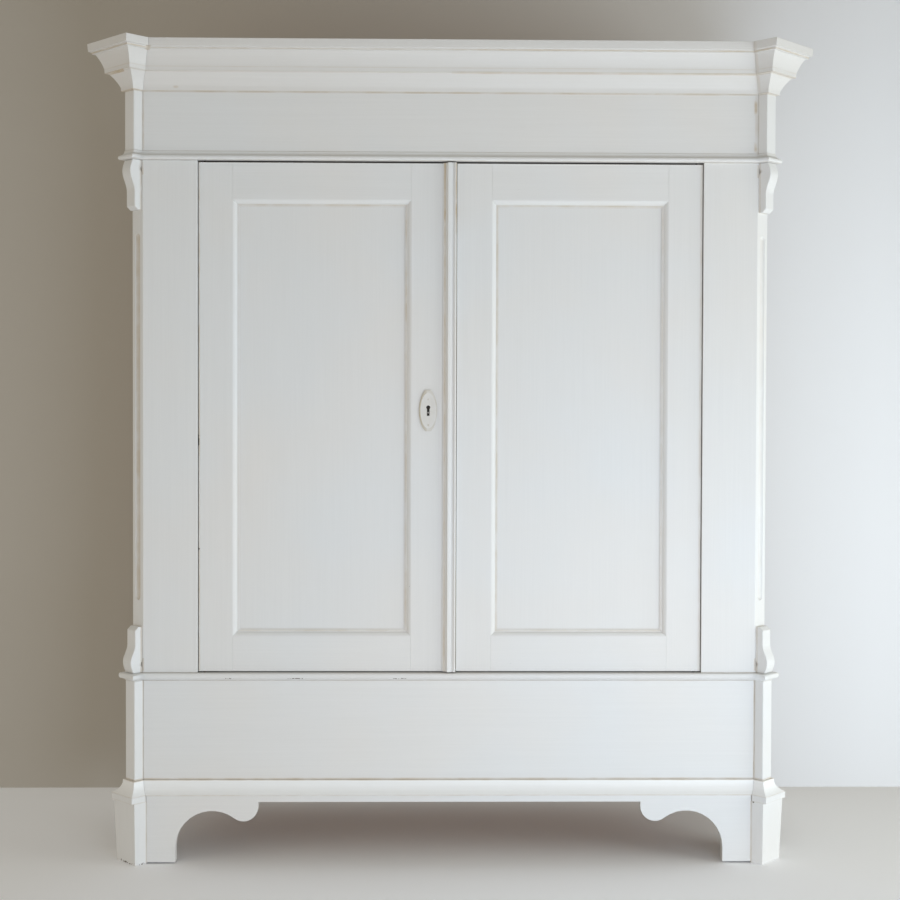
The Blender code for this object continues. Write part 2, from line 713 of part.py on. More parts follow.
def make_body():
    for name, side in SIDES:
        make_corner_stile(f"corner_stile_{name}", side)
        faces = sorted((side * INNER_HALF_WIDTH, side * BODY_HALF_WIDTH))
        board(
            f"side_panel_{name}",
            (faces[0], POST_DEPTH + FIT, LEDGE_TOP + FIT),
            (faces[1], BACK_INSIDE - FIT, CROWN_UNDER - FIT),
            "paint",
            FACE,
        )
        make_console(f"upper_console_{name}", side, UPPER_CONSOLE, CROWN_UNDER - FIT, 1)
        make_console(f"lower_console_{name}", side, LOWER_CONSOLE, LEDGE_TOP + FIT, -1)
    width = 2 * BODY_HALF_WIDTH / BACK_BOARD_COUNT
    for i in range(BACK_BOARD_COUNT):
        left = -BODY_HALF_WIDTH + i * width
        board(
            f"back_board_{i + 1}",
            (left + FIT / 2, BACK_INSIDE, PLINTH_HEIGHT),
            (left + width - FIT / 2, BODY_DEPTH, CROWN_BOARD_TOP - FIT),
            "pine",
            FACE,
        )
    make_inside()


# Crown


def cornice_section():
    """The cornice cut across, as (how far out, how high): two hollows with flats between, and a band."""
    foot_top = FRIEZE_TOP + CORNICE_FOOT_RISE
    lower_top = foot_top + CORNICE_LOWER_RISE
    upper_low = lower_top + CORNICE_FILLET_RISE
    fascia_low = TOTAL_HEIGHT - CORNICE_FASCIA
    step_low = fascia_low - CORNICE_STEP_RISE
    section = [(FIT, FRIEZE_TOP), (CORNICE_FOOT_OUT, FRIEZE_TOP)]
    section += hollow((CORNICE_FOOT_OUT + MEMBER_LEAN, foot_top), (CORNICE_LOWER_OUT, lower_top))
    section += [(CORNICE_FILLET_OUT, lower_top)]
    section += hollow((CORNICE_FILLET_OUT + MEMBER_LEAN, upper_low), (CORNICE_UPPER_OUT, step_low))
    section += [(CORNICE_STEP_OUT, step_low), (CORNICE_STEP_OUT + MEMBER_LEAN, fascia_low)]
    section += [(CORNICE_OUT - FASCIA_LEAN, fascia_low), (CORNICE_OUT, TOTAL_HEIGHT), (FIT, TOTAL_HEIGHT)]
    return section


def make_crown():
    nose_high = CROWN_UNDER + UPPER_NOSE
    profile = nose(CROWN_UNDER, nose_high, LEDGE_OUT)
    above = hollow((LEDGE_FOOT_OUT, FRIEZE_LOW), (LEDGE_HOLLOW_OUT, nose_high + FIT), LEDGE_SWEEP, 0)
    profile += reversed(above)
    ledge = make_ledge("upper_ledge", profile)
    board_box("frieze", FRIEZE_LOW + FIT, CROWN_BOARD_TOP - FIT)
    section = cornice_section()
    rings = []
    for side in (-1, 1):
        rings.append([(side * (corner_path(out)[0][0] - FIT), -out, z) for out, z in section])
    ease(finish("cornice_front", loft_mesh(rings), "paint", FACE), MOULDING_EASE)
    for name, side in SIDES:
        rings = []
        paths = [corner_path(out) for out, z in section]
        for step in range(4):
            rings.append([(side * path[step][0], path[step][1], z) for path, (out, z) in zip(paths, section)])
        rings.append([(side * (BODY_HALF_WIDTH + out), BODY_DEPTH, z) for out, z in section])
        ease(finish(f"cornice_{name}", loft_mesh(rings), "paint", FACE), MOULDING_EASE)
    half = corner_path(0) + [(BODY_HALF_WIDTH, BODY_DEPTH)]
    work = prism_mesh(half + sided(reversed(half), -1), CROWN_BOARD_TOP, TOTAL_HEIGHT)
    finish("top_board", work, "pine", FACE)
    return ledge


# Doors


def member_section(width):
    """A frame member cut across, as (how far into the opening, how deep): first the plain bar, then
    the round moulding before the panel, the groove, and the lip behind it."""
    groove_front = PANEL_RECESS - FIT
    groove_back = PANEL_RECESS + PANEL_THICKNESS + FIT
    bar = [(-width, DOOR_THICKNESS), (-width, 0), (0, 0)]
    bar += [(0, groove_front), (0, groove_back), (0, DOOR_THICKNESS)]
    start, end = (math.radians(tilt) for tilt in STUCK_TILTS)
    radius = (STUCK_ROUND - STUCK_START) / (math.sin(end) - math.sin(start))
    moulding = []
    for i in range(CURVE_STEPS + 1):
        tilt = start + (end - start) * i / CURVE_STEPS
        across = STUCK_START + radius * (math.sin(tilt) - math.sin(start))
        moulding.append((across, STUCK_QUIRK + radius * (math.cos(start) - math.cos(tilt))))
    moulding += [(STUCK_WIDTH, moulding[-1][1]), (STUCK_WIDTH, groove_front)]
    lip = [(LIP_WIDTH, groove_back), (LIP_WIDTH, DOOR_THICKNESS)]
    return bar, moulding, lip


def member_mesh(place, width, ends, mitres):
    """A stile or a rail: a bar between its ends, with moulding and lip between the mitres."""
    bar, moulding, lip = member_section(width)
    work = bmesh.new()
    stations = sorted({ends[0], mitres[0], mitres[1], ends[1]})
    bars = {s: [work.verts.new(place(t, d, s)) for t, d in bar] for s in stations}
    strips = {}
    for mitre, lean in ((mitres[0], 1), (mitres[1], -1)):
        for key, shape in (("moulding", moulding), ("lip", lip)):
            strips[key, mitre] = [work.verts.new(place(t, d, mitre + lean * t)) for t, d in shape]
    loops = {key: {} for key in ("moulding", "lip")}
    for mitre in mitres:
        row = bars[mitre]
        loops["moulding"][mitre] = [row[2]] + strips["moulding", mitre] + [row[3]]
        loops["lip"][mitre] = [row[4]] + strips["lip", mitre] + [row[5]]
        work.faces.new(loops["moulding"][mitre])
        work.faces.new(loops["lip"][mitre])
    for start, end in zip(stations, stations[1:]):
        moulded = (start, end) == tuple(mitres)
        for i in range(len(bar)):
            if moulded and i in (2, 4):
                continue
            j = (i + 1) % len(bar)
            work.faces.new((bars[start][i], bars[start][j], bars[end][j], bars[end][i]))
    for loop in loops.values():
        first, last = loop[mitres[0]], loop[mitres[1]]
        for i in range(len(first) - 1):
            work.faces.new((first[i], first[i + 1], last[i + 1], last[i]))
    work.faces.new(bars[stations[0]])
    work.faces.new(bars[stations[-1]])
    return work


def make_frame(name, side, axis, meeting_edge, meeting_width):
    """The four members of a door's frame and the panel in their grooves."""
    inner = meeting_edge + meeting_width
    outer = HINGE_EDGE - HINGE_STILE

    def at(x, depth, z):
        return (side * x, DOOR_SETBACK + depth, z)

    stiles = {
        "hinge_stile": (HINGE_STILE, lambda t, d, s: at(outer - t, d, s)),
        "meeting_stile": (meeting_width, lambda t, d, s: at(inner + t, d, s)),
    }
    made = {}
    for kind, (width, place) in stiles.items():
        work = member_mesh(place, width, (DOOR_LOW, DOOR_HIGH), (PANEL_LOW, PANEL_HIGH))
        made[kind] = ease(finish(f"{name}_{kind}", work, "paint", axis), FRAME_EASE)
    rails = {
        "bottom_rail": (BOTTOM_RAIL, lambda t, d, s: at(s, d, PANEL_LOW + t)),
        "top_rail": (TOP_RAIL, lambda t, d, s: at(s, d, PANEL_HIGH - t)),
    }
    span = (inner + FIT, outer - FIT)
    for kind, (width, place) in rails.items():
        work = member_mesh(place, width, span, span)
        ease(finish(f"{name}_{kind}", work, "paint", axis), FRAME_EASE)
    edges = sorted((side * (inner + PANEL_PLAY), side * (outer - PANEL_PLAY)))
    front = DOOR_SETBACK + PANEL_RECESS
    board(
        f"{name}_panel",
        (edges[0], front, PANEL_LOW + PANEL_PLAY),
        (edges[1], front + PANEL_THICKNESS, PANEL_HIGH - PANEL_PLAY),
        "paint",
        axis,
        0,
    )
    return made


def make_pivots(name, side, axis, stile, ledges):
    """An iron plate with a pin at the top and at the bottom of a door, each let into the stile."""
    length, breadth, thickness = PIVOT_PLATE
    outer = HINGE_EDGE - PIVOT_PLATE_INSET
    middle_y = PIVOT_Y + breadth / 2 - PIVOT_PLATE_FRONT
    for end, ledge, level, up, reach in (
        ("top", ledges["upper"], DOOR_HIGH, 1, DOOR_TOP_GAP + PIVOT_REACH),
        ("bottom", ledges["lower"], DOOR_LOW, -1, DOOR_BOTTOM_GAP + PIVOT_REACH),
    ):
        faces = sorted((side * outer, side * (outer - length)))
        heights = sorted((level, level - up * thickness))
        low = Vector((faces[0], middle_y - breadth / 2, heights[0]))
        high = Vector((faces[1], middle_y + breadth / 2, heights[1]))
        plate = finish(f"{name}_{end}_pivot", cube_mesh(low, high), "iron", axis)
        foot = (side * PIVOT_X, PIVOT_Y, level - up * thickness / 2)
        tip = (side * PIVOT_X, PIVOT_Y, level + up * reach)
        pin = finish(f"{name}_{end}_pin", rod_mesh(foot, tip, PIVOT_RADIUS), None, axis)
        boolean(plate, pin, "UNION")
        if end == "bottom":
            top = (foot[0], foot[1], level - up * (DOOR_BOTTOM_GAP - FIT) / 2)
            seat = (foot[0], foot[1], level + up * (DOOR_BOTTOM_GAP - FIT))
            collar = finish(f"{name}_collar", rod_mesh(top, seat, COLLAR_RADIUS), None, axis)
            boolean(plate, collar, "UNION")
        slack = Vector((FIT, FIT, FIT))
        recess_low, recess_high = low - slack, high + slack
        if up > 0:
            recess_high.z += thickness
        else:
            recess_low.z -= thickness
        boolean(stile, cutter(f"{name}_{end}_pivot_recess", recess_low, recess_high, axis))
        mouth = (foot[0], foot[1], level - up * thickness)
        bottom = (foot[0], foot[1], tip[2] + up * FIT)
        hole = rod_mesh(mouth, bottom, PIVOT_RADIUS + PIN_CLEARANCE)
        boolean(ledge, finish(f"{name}_{end}_pivot_hole", hole, None, FACE))


def make_edge_bolts(axis, stile, ledges):
    """Flat bolts in grooves in the right door's meeting edge, one up and one down."""
    thickness, breadth, length = EDGE_BOLT
    back = RIGHT_EDGE + EDGE_KNOB
    front_y = DOOR_SETBACK + EDGE_BOLT_FRONT
    for end, ledge, level, up, gap in (
        ("top", ledges["upper"], DOOR_HIGH, 1, DOOR_TOP_GAP),
        ("bottom", ledges["lower"], DOOR_LOW, -1, DOOR_BOTTOM_GAP),
    ):
        tip = level - up * EDGE_BOLT_RECESS
        heights = sorted((tip, tip - up * length))
        bolt = board(
            f"{end}_bolt",
            (back, front_y, heights[0]),
            (back + thickness, front_y + breadth, heights[1]),
            "iron",
            axis,
            IRON_EASE,
        )
        knob_z = tip - up * EDGE_KNOB_PLACE * length
        knob = cube_mesh(
            (back - EDGE_KNOB + FIT, front_y + breadth * 0.25, knob_z - breadth / 4),
            (back + thickness / 2, front_y + breadth * 0.75, knob_z + breadth / 4),
        )
        boolean(bolt, finish(f"{end}_bolt_knob", knob, None, axis), "UNION")
        groove = sorted((level + up * length, tip - up * (length + SLIDE)))
        boolean(
            stile,
            cutter(
                f"{end}_bolt_groove",
                (RIGHT_EDGE - BOARD, front_y - SLIDE, groove[0]),
                (back + thickness + SLIDE, front_y + breadth + SLIDE, groove[1]),
                axis,
            ),
        )
        keeper = sorted((level, level + up * (gap + EDGE_BOLT_TRAVEL)))
        boolean(
            ledge,
            cutter(
                f"{end}_bolt_keeper",
                (back - SLIDE, front_y - SLIDE, keeper[0]),
                (back + thickness + SLIDE, front_y + breadth + SLIDE, keeper[1]),
                FACE,
            ),
        )


def keyhole_outline(radius, slot):
    """A round hole over a straight slot, drawn in x and z."""
    top = LOCK_HEIGHT + KEYHOLE_LENGTH / 2 - radius
    lean = math.degrees(math.asin(slot / 2 / radius))
    outline = arc((LOCK_X, top), radius, -90 + lean, 270 - lean, 3 * CURVE_STEPS)
    low = LOCK_HEIGHT - KEYHOLE_LENGTH / 2
    return outline + [(LOCK_X - slot / 2, low), (LOCK_X + slot / 2, low)]


def make_lock(axis, stile, other_axis, other_stile):
    """The case let into the back of the left meeting stile, its bolt, and the plate over the keyhole."""
    width, depth, height = LOCK_CASE
    right = LEFT_EDGE - LOCK_EDGE
    back = DOOR_BACK - FIT
    low = Vector((right - width, back - depth, LOCK_HEIGHT - height / 2))
    high = Vector((right, back, LOCK_HEIGHT + height / 2))
    case = board("lock_case", low, high, "iron", axis, IRON_EASE)
    slack = Vector((FIT, FIT, FIT))
    pocket_high = Vector((LEFT_EDGE + BOARD, DOOR_BACK + BOARD, high.z + FIT))
    boolean(stile, cutter("lock_pocket", low - slack, pocket_high, axis))
    thickness, tall = BOLT_SECTION
    bolt_y = back - depth / 2
    end = LEFT_EDGE - BOLT_RECESS
    section_low = (bolt_y - thickness / 2, LOCK_HEIGHT - tall / 2)
    section_high = (bolt_y + thickness / 2, LOCK_HEIGHT + tall / 2)
    board("lock_bolt", (end - BOLT_LENGTH, *section_low), (end, *section_high), "iron", axis, IRON_EASE)
    slide_low = (section_low[0] - SLIDE, section_low[1] - SLIDE)
    slide_high = (section_high[0] + SLIDE, section_high[1] + SLIDE)
    channel = ((end - BOLT_LENGTH - SLIDE, *slide_low), (end + BOARD, *slide_high))
    boolean(case, cutter("bolt_channel", *channel, axis))
    mortise = ((RIGHT_EDGE - BOARD, *slide_low), (RIGHT_EDGE + BOLT_MORTISE, *slide_high))
    boolean(other_stile, cutter("bolt_mortise", *mortise, other_axis))
    keyhole = prism_mesh(keyhole_outline(KEYHOLE_RADIUS, KEYHOLE_SLOT), -BOARD, low.y + FIT, "Y")
    hole = finish("keyhole", keyhole, None, axis)
    boolean(stile, hole)
    half_width, half_tip = ESCUTCHEON_WIDTH / 2, ESCUTCHEON_TIP / 2
    outline = []
    for turn in (0, 1):
        for i in range(2 * CURVE_STEPS + 1):
            share = i / CURVE_STEPS - 1
            bulge = half_tip + (half_width - half_tip) * (1 - share**2) ** ESCUTCHEON_FULLNESS
            spot = (bulge, share * ESCUTCHEON_LENGTH / 2)
            outline.append(spot if turn == 0 else (-spot[0], -spot[1]))
    outline = [(LOCK_X + x, LOCK_HEIGHT + z) for x, z in outline]
    front = DOOR_SETBACK - FIT
    plate = finish("escutcheon", prism_mesh(outline, front - ESCUTCHEON_THICKNESS, front, "Y"), "paint", axis)
    boolean(plate, hole)
    ease(plate, ESCUTCHEON_BEVEL)


def make_closing_strip(axis):
    """The moulded strip that hides the meeting of the doors: a rising curve, a flat and a bead."""
    back = DOOR_SETBACK - FIT
    left = LEFT_EDGE - STRIP_WIDTH
    crest = LEFT_EDGE - STRIP_BEAD - STRIP_GROOVE - STRIP_CREST
    outline = [(left, back), (left, back - STRIP_EDGE)]
    for i in range(1, CURVE_STEPS + 1):
        angle = math.pi / 2 * i / CURVE_STEPS
        rise = STRIP_EDGE + (STRIP_HEIGHT - STRIP_EDGE) * (1 - math.cos(angle))
        outline.append((left + (crest - left) * math.sin(angle), back - rise))
    flat_end = crest + STRIP_CREST
    outline += [(flat_end, back - STRIP_HEIGHT)]
    outline += [(flat_end + STRIP_GROOVE / 2, back - STRIP_HEIGHT + STRIP_GROOVE_DEPTH)]
    centre = (LEFT_EDGE - STRIP_BEAD / 2, back - STRIP_HEIGHT + STRIP_BEAD / 2)
    outline += arc(centre, STRIP_BEAD / 2, -180, 0)
    outline += [(LEFT_EDGE, back)]
    strip = finish("closing_strip", prism_mesh(outline, DOOR_LOW, DOOR_HIGH), "paint", axis)
    ease(strip, STRIP_EASE, angle=50)


def make_doors(ledges):
    axes = {}
    frames = {}
    for name, side, edge, width in (
        ("left", -1, -LEFT_EDGE, LEFT_MEETING_STILE),
        ("right", 1, RIGHT_EDGE, RIGHT_MEETING_STILE),
    ):
        axes[name] = new_empty(f"{name}_door_axis", (side * PIVOT_X, PIVOT_Y, 0), FACE)
        frames[name] = make_frame(name, side, axes[name], edge, width)
        make_pivots(name, side, axes[name], frames[name]["hinge_stile"], ledges)
    make_edge_bolts(axes["right"], frames["right"]["meeting_stile"], ledges)
    make_lock(axes["left"], frames["left"]["meeting_stile"], axes["right"], frames["right"]["meeting_stile"])
    make_closing_strip(axes["left"])


clear_scene()
PARTS = new_collection("wardrobe")
CUTTERS = new_collection("cutters")
MATERIALS = {
    "paint": new_material("old_white_paint", PAINT, 0.45),
    "pine": new_material("bare_pine", PINE, 0.7),
    "iron": new_material("dark_iron", IRON, 0.5, 1.0),
}
SIDES = (("left", -1), ("right", 1))
FACE = new_empty("face_plane", (0, FACE_Y, 0))
make_plinth()
lower = make_base_box()
make_body()
upper = make_crown()
make_doors({"lower": lower, "upper": upper})
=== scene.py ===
"""An old softwood wardrobe under white oil paint: two panelled doors, canted corners and a deep cornice."""

import json
import logging
import math
from dataclasses import dataclass, replace
from enum import Enum

import bpy
from mathutils import Matrix, Vector

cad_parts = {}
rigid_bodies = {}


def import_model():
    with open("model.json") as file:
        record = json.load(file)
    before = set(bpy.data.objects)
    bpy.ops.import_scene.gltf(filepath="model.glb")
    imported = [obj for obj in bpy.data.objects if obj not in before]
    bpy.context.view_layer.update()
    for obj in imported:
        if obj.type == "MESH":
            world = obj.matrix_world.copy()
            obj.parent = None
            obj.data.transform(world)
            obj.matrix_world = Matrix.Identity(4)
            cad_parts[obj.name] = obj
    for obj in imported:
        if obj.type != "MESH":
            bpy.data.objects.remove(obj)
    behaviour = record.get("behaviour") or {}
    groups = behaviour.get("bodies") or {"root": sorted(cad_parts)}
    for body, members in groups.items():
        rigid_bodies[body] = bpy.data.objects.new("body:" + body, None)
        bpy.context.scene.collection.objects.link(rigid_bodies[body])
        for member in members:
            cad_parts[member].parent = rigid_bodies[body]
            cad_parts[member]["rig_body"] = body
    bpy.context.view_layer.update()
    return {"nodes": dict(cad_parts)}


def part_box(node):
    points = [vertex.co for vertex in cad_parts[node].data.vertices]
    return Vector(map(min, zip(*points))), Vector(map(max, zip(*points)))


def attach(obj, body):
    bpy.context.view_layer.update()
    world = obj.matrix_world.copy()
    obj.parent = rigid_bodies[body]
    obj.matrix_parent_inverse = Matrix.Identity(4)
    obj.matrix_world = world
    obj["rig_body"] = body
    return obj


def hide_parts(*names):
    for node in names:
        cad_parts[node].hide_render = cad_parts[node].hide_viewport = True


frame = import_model()
FACE_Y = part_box("frieze_board")[0].y  # the front face of the fixed boards
BASE_FOOT, BASE_TOP = (corner.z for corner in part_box("base_moulding_front"))
LEDGE_LOW, LEDGE_TOP = (corner.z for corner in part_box("lower_ledge"))
CROWN_LOW, FRIEZE_LOW = (corner.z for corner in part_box("upper_ledge"))
CORNICE_LOW, TOP = (corner.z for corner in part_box("cornice_front"))
FRONT_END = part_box("frieze_board")[1].x  # half the width between the canted corners
MM = 0.001
DIAGONAL = math.sqrt(0.5)
JOINT = 0.3 * MM  # the gap between two fixed boards, which paint fills
WELD = 0.001 * MM  # corners that lie closer together are one
FLAT = 0.5  # degrees between two faces that are one
MOST = (0.3, 0.7)  # where nearly all of a noise lies
MIDDLE = (0.35, 0.65)  # a narrower part of it, for a stronger contrast
SIDES = (("left", -1), ("right", 1))
log = logging.getLogger("wardrobe")

Value = float | int | tuple | bpy.types.NodeSocket  # what an input of a node takes


class Run(Enum):
    """The way along which a board was sawn and its paint was brushed."""

    UPRIGHT = 2
    LEVEL = 0
    FRONT_TO_BACK = 1


class Slot(Enum):
    """The record's material slots."""

    PAINT = "painted_wood"
    PINE = "bare_pine"
    IRON = "dark_iron"


# Node helpers


def linear(colour: str) -> tuple[float, float, float, float]:
    """Turns an sRGB hex colour into linear RGBA.

    Args:
        colour: the colour as "#RRGGBB".

    Returns:
        The linear colour with an alpha of 1.
    """
    parts = [int(colour[i : i + 2], 16) / 255 for i in (1, 3, 5)]
    return (*(p / 12.92 if p <= 0.04045 else ((p + 0.055) / 1.055) ** 2.4 for p in parts), 1.0)


def add_node(
    tree: bpy.types.NodeTree, kind: str, settings: dict[str, object], inputs: dict[int | str, Value]
) -> bpy.types.Node:
    """Adds a node with its settings and its inputs.

    Args:
        tree: the material's node tree.
        kind: Blender's name of the node.
        settings: the node's own properties.
        inputs: a value, or the output to link, for each input named or numbered.

    Returns:
        The new node.
    """
    node = tree.nodes.new(kind)
    for key, value in settings.items():
        setattr(node, key, value)
    for key, value in inputs.items():
        if isinstance(value, bpy.types.NodeSocket):
            tree.links.new(value, node.inputs[key])
        else:
            node.inputs[key].default_value = value
    return node


def compute(tree: bpy.types.NodeTree, operation: str, *values: Value, clamp: bool = False) -> Value:
    """Works out one sum of numbers.

    Args:
        tree: the material's node tree.
        operation: Blender's name of the sum.
        values: the numbers, or the outputs to link, in order.
        clamp: whether the result is held between 0 and 1.

    Returns:
        The result's socket.
    """
    settings = {"operation": operation, "use_clamp": clamp}
    return add_node(tree, "ShaderNodeMath", settings, dict(enumerate(values))).outputs[0]


def compute_vector(tree: bpy.types.NodeTree, operation: str, *values: Value) -> Value:
    """Works out one sum of vectors.

    Args:
        tree: the material's node tree.
        operation: Blender's name of the sum.
        values: the vectors, or the outputs to link, in order.

    Returns:
        The resulting vector's socket, or the number's where the sum gives a number.
    """
    node = add_node(tree, "ShaderNodeVectorMath", {"operation": operation}, dict(enumerate(values)))
    return node.outputs["Value" if operation in ("DOT_PRODUCT", "LENGTH") else "Vector"]


def remap(
    tree: bpy.types.NodeTree,
    value: Value,
    ends: tuple[float, float],
    to: tuple[float, float] = (0.0, 1.0),
    smooth: bool = False,
) -> Value:
    """Stretches a range to another one and holds it at the ends.

    Args:
        tree: the material's node tree.
        value: the output to remap.
        ends: the range's two ends.
        to: what they turn into.
        smooth: whether it eases out of one end and into the other.

    Returns:
        The result's socket.
    """
    settings = {"interpolation_type": "SMOOTHSTEP"} if smooth else {}
    inputs = {0: value, 1: ends[0], 2: ends[1], 3: to[0], 4: to[1]}
    return add_node(tree, "ShaderNodeMapRange", settings, inputs).outputs[0]


def blend(tree: bpy.types.NodeTree, share: Value, under: Value, over: Value, kind: str = "MIX") -> Value:
    """Lays one colour over another.

    Args:
        tree: the material's node tree.
        share: how much of the upper colour shows.
        under: the lower colour.
        over: the upper colour.
        kind: Blender's name of the way in which they mix.

    Returns:
        The mixed colour's socket.
    """
    settings = {"data_type": "RGBA", "blend_type": kind}
    return add_node(tree, "ShaderNodeMix", settings, {0: share, 6: under, 7: over}).outputs[2]


def noise(
    tree: bpy.types.NodeTree, place: Value, size: float, detail: float, rough: float = 0.5, twist: float = 0.0
) -> Value:
    """Draws cloudy noise.

    Args:
        tree: the material's node tree.
        place: the point's socket.
        size: how wide its widest patches are.
        detail: how many finer layers it has.
        rough: how strong each finer layer is.
        twist: how far the patches are twisted.

    Returns:
        The noise's socket, from 0 to 1.
    """
    inputs = {"Vector": place, "Scale": 1 / size, "Detail": detail, "Roughness": rough, "Distortion": twist}
    return add_node(tree, "ShaderNodeTexNoise", {}, inputs).outputs[0]


def stretch(tree: bpy.types.NodeTree, place: Value, run: Run, wide: float, long: float) -> Value:
    """Scales space so that a pattern of size 1 becomes long along a board and narrow across it.

    Args:
        tree: the material's node tree.
        place: the point's socket.
        run: the board's run.
        wide: the pattern's new size across the run.
        long: its new size along the run.

    Returns:
        The scaled point's socket.
    """
    scale = [1 / wide] * 3
    scale[run.value] = 1 / long
    return add_node(tree, "ShaderNodeMapping", {}, {"Vector": place, "Scale": tuple(scale)}).outputs[0]


def find_place(tree: bpy.types.NodeTree) -> Value:
    """Gives the point in the wardrobe's own coordinates."""
    return add_node(tree, "ShaderNodeTexCoord", {}, {}).outputs["Object"]


def emboss(
    tree: bpy.types.NodeTree, shader: bpy.types.Node, pattern: Value, strength: float, depth: float
) -> None:
    """Gives a shader a fine relief.

    Args:
        tree: the material's node tree.
        shader: the material's shader.
        pattern: the socket that says how high the surface is.
        strength: how strongly the relief catches the light.
        depth: how deep it is.
    """
    inputs = {"Strength": strength, "Distance": depth, "Height": pattern}
    bump = add_node(tree, "ShaderNodeBump", {}, inputs)
    tree.links.new(bump.outputs["Normal"], shader.inputs["Normal"])


def new_material(name: str) -> tuple[bpy.types.Material, bpy.types.NodeTree, bpy.types.Node]:
    """Makes a material with only its shader in it.

    Args:
        name: what the material is.

    Returns:
        The material, its node tree and its shader.
    """
    material = bpy.data.materials.new(name)
    material.use_nodes = True
    tree = material.node_tree
    return material, tree, tree.nodes["Principled BSDF"]


# Where wash, painted shade and wear lie


@dataclass(frozen=True)
class Layer:
    """A flat layer of space, whole within `half` of its middle and faded out over `soft` more.

    A point is (x, depth behind the face, height), and `normal` times the point gives `at` in the middle.
    A folded layer drops the sign of x, so that it is the same on the left and on the right.
    """

    normal: tuple[float, float, float]
    at: float
    half: float
    soft: float
    folded: bool = True

    def measure(self, tree: bpy.types.NodeTree, signed: Value, folded: Value) -> Value:
        """Measures how far along the layer's normal a point lies."""
        return compute_vector(tree, "DOT_PRODUCT", folded if self.folded else signed, self.normal)


@dataclass(frozen=True)
class Spot:
    """An egg-shaped place round a point, or with `at` above 0 the egg's shell."""

    centre: tuple[float, float, float]
    radii: tuple[float, float, float]
    at: float = 0.0
    half: float = 0.35
    soft: float = 0.65

    def measure(self, tree: bpy.types.NodeTree, signed: Value, folded: Value) -> Value:
        """Measures how far from the centre a point lies, as a share of the radii."""
        offset = compute_vector(tree, "SUBTRACT", signed, self.centre)
        return compute_vector(tree, "LENGTH", compute_vector(tree, "DIVIDE", offset, self.radii))


@dataclass(frozen=True)
class Mark:
    """Something that lies where all of its zones meet, as strong as `strength`."""

    strength: float
    zones: tuple[Layer | Spot, ...]


LEFT_HALF = Layer((-1, 0, 0), 1.0, 1.0, MM, folded=False)
RIGHT_HALF = Layer((1, 0, 0), 1.0, 1.0, MM, folded=False)


def height(at: float, half: float = 0.5 * MM, soft: float = 1.6 * MM) -> Layer:
    """A level layer."""
    return Layer((0, 0, 1), at, half, soft)


def across(at: float, half: float = 0.5 * MM, soft: float = 1.6 * MM) -> Layer:
    """An upright layer that runs from front to back, on both sides."""
    return Layer((1, 0, 0), at, half, soft)


def before_cant(at: float, half: float, soft: float) -> Layer:
    """A layer along the canted corner's face, `at` before it."""
    return Layer((DIAGONAL, -DIAGONAL, 0), FRONT_END * DIAGONAL + at, half, soft)


def strongest(tree: bpy.types.NodeTree, place: Value, marks: tuple[Mark, ...]) -> Value:
    """Finds how strong the strongest of some marks is at each point.

    Args:
        tree: the material's node tree.
        place: the point, in the wardrobe's own coordinates.
        marks: the marks.

    Returns:
        The strength's socket.
    """
    signed = compute_vector(tree, "SUBTRACT", place, (0, FACE_Y, 0))
    parts = add_node(tree, "ShaderNodeSeparateXYZ", {}, {0: signed}).outputs
    aside = compute(tree, "ABSOLUTE", parts[0])
    folded = add_node(tree, "ShaderNodeCombineXYZ", {}, {0: aside, 1: parts[1], 2: parts[2]}).outputs[0]
    total = None
    for mark in marks:
        share = mark.strength
        for zone in mark.zones:
            off = compute(tree, "SUBTRACT", zone.measure(tree, signed, folded), zone.at)
            fade = (zone.half, zone.half + zone.soft)
            inside = remap(tree, compute(tree, "ABSOLUTE", off), fade, (1.0, 0.0), smooth=True)
            share = compute(tree, "MULTIPLY", inside, share)
        total = share if total is None else compute(tree, "MAXIMUM", total, share)
    return total


# Finishes


